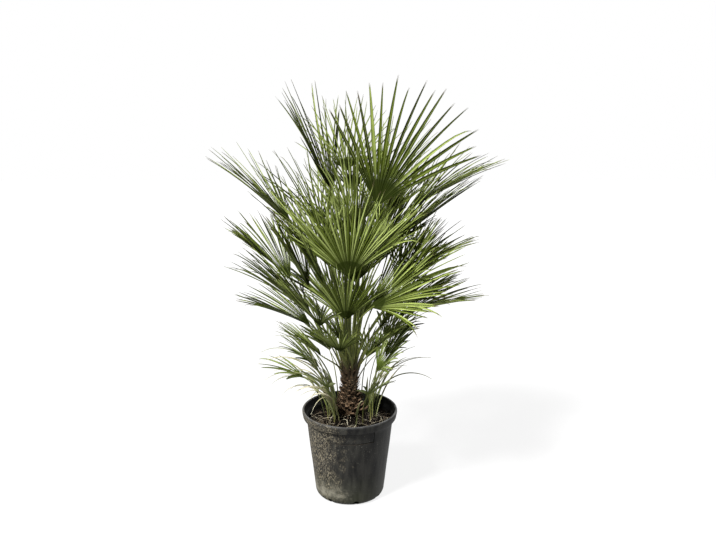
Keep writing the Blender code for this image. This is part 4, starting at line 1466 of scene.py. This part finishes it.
def strap_path(foot, length, heading, lean, end, steps):
    """Points along a strap that stands up and leans over more and more."""
    point = Vector((*foot, soil_height(math.hypot(*foot)) + 2 * GAP))
    points = [point]
    for step in range(steps):
        angle = math.radians(lean + (end - lean) * (step / steps) ** 1.5)
        point = point + (polar(heading) * math.sin(angle) + UP * math.cos(angle)) * length / steps
        points.append(point)
    return points


print(len(STRAPS), "straps in the table")

# %% [markdown]
# ## Strap finish
# A strap is grey green while it lives and goes olive and then cream as it dries, from its tip down. Its age,
# in the layer tone, the share of its length and a little noise add up to one value, which a ramp turns into
# those colours. Fine lines run along it.

# %% Strap finish
DRY = new_finish("dry_strap", 0.6)
ageing = plus(times(attribute(DRY, "along"), 0.55), times(attribute(DRY, "tone"), 0.5))
ageing = plus(ageing, times(cloud(DRY, 45), 0.3))
shade(DRY, "Base Color", ramp(ageing, (0.30, (0.14, 0.17, 0.055)), (1.15, (0.66, 0.62, 0.45)),
                              (0.62, (0.27, 0.28, 0.12)), (0.85, (0.46, 0.42, 0.24))))
bump(DRY, maths("SINE", times(attribute(DRY, "fold"), 25.0)), 0.25, 0.0004)
print("strap skin has", len(DRY.node_tree.nodes), "nodes")

# %% [markdown]
# ## Bend a blade
# A strap starts as a flat grid of four columns. Each row moves to its step of the path and is folded
# lengthwise like a gutter, narrow at the foot, widest halfway and pointed at its end, and the whole blade
# twists slowly. Last, the solidify operator gives it thickness.

# %% Bend a blade
BLADE_STEPS = 24
BLADE_TWIST = math.radians(25)
BLADE_THICKNESS = 0.0006


def blade(foot, length, heading, lean, end, width, age):
    """A bmesh of one narrow blade that follows its path."""
    form = bmesh.new()
    fold, along, tone = (form.verts.layers.float.new(key) for key in ("fold", "along", "tone"))
    bmesh.ops.create_grid(form, x_segments=4, y_segments=BLADE_STEPS, size=0.5)
    path = strap_path(foot, length, heading, lean, end, BLADE_STEPS)
    across = polar(heading + 90)
    for vert in form.verts:
        share, side = vert.co.y + 0.5, vert.co.x * 2
        step = round(share * BLADE_STEPS)
        ahead = (path[min(step + 1, BLADE_STEPS)] - path[max(step - 1, 0)]).normalized()
        half = width / 2 * max(0.12, math.sin(math.pi * (0.09 + 0.89 * share)))
        turn = Matrix.Rotation(BLADE_TWIST * share ** 2, 3, ahead)
        vert.co = path[step] + turn @ (across * side * 0.9 + across.cross(ahead) * pleat(side) * 0.7) * half
        vert[fold], vert[along], vert[tone] = abs(side), share, age
    bmesh.ops.solidify(form, geom=form.faces, thickness=BLADE_THICKNESS)
    bmesh.ops.recalc_face_normals(form, faces=form.faces)
    return form


for name, values in STRAPS.items():
    add_piece(name.replace("leaf", "blade"), blade(*values), (DRY,), "dry_leaf", name, crease=60)
print(len(STRAPS), "straps bent")

# %% [markdown]
# ## Tufts of young blades
# Many more seedling blades stand in loose tufts round the trunk, thin and mostly green. They are too fine for
# the CAD and are shown only here. Each row of the table is one tuft: the middle of its feet, the number of
# blades, their heading and its spread, the shortest and longest, and how far the tips lean over.

# %% Tufts of young blades
TUFTS = (((-0.044, -0.040), 7, 205, 80, 0.18, 0.32, 160), ((-0.078, -0.014), 2, 180, 50, 0.12, 0.22, 110),
         ((0.074, -0.010), 2, 0, 60, 0.14, 0.26, 100), ((0.052, 0.046), 3, 45, 50, 0.12, 0.24, 110),
         ((-0.050, 0.050), 4, 130, 50, 0.12, 0.24, 110), ((-0.052, -0.030), 3, 190, 50, 0.26, 0.36, 60),
         ((0.066, 0.014), 3, 20, 50, 0.22, 0.34, 60), ((0.0, 0.064), 5, 90, 80, 0.22, 0.34, 60),
         ((-0.046, -0.022), 9, 188, 28, 0.28, 0.40, 140), ((0.056, -0.010), 5, -5, 30, 0.26, 0.36, 130))
TUFT_SIZE = 0.007
tufts = bmesh.new()
for (x, y), count, heading, spread, shortest, longest, end in TUFTS:
    for _ in range(count):
        foot = (x + chance.gauss(0, TUFT_SIZE), y + chance.gauss(0, TUFT_SIZE))
        part = blade(foot, chance.uniform(shortest, longest), heading + chance.uniform(-spread, spread),
                     chance.uniform(2, 18), end * chance.uniform(0.5, 1.0), chance.uniform(0.0045, 0.0090),
                     chance.uniform(-0.3, 0.75))
        append(tufts, part)
add_piece("young_blades", tufts, (DRY,), "shoot_green", crease=60)
print(sum(row[1] for row in TUFTS), "young blades")

# %% [markdown]
# ## Spear
# In the middle of the crown stands the next leaf, still closed like a folded fan. It is a slim ring of
# sixteen sides, swept straight up from the trunk's top and thinned to a point.

# %% Spear
SPEAR_TIP = (0.012, -0.010)
spear = bmesh.new()
low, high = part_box("spear_leaf")
base, top = Vector((0, 0, low.z)), Vector((*SPEAR_TIP, high.z))
curve = (base, base + UP * 0.2, top - UP * 0.2, top)
places = ring_places(curve, [step / 30 for step in range(31)], Vector((1, 0, 0)),
                     lambda share: between(0.0050, 0.0008, share ** 1.6),
                     lambda share: between(0.0034, 0.0006, share ** 1.6))
sweep(spear, places, 16, tone=0.6)
add_piece("closed_spear", spear, (SHOOT_STALK,), "spear_green", "spear_leaf", crease=30)
print("spear up to", round(high.z, 3))
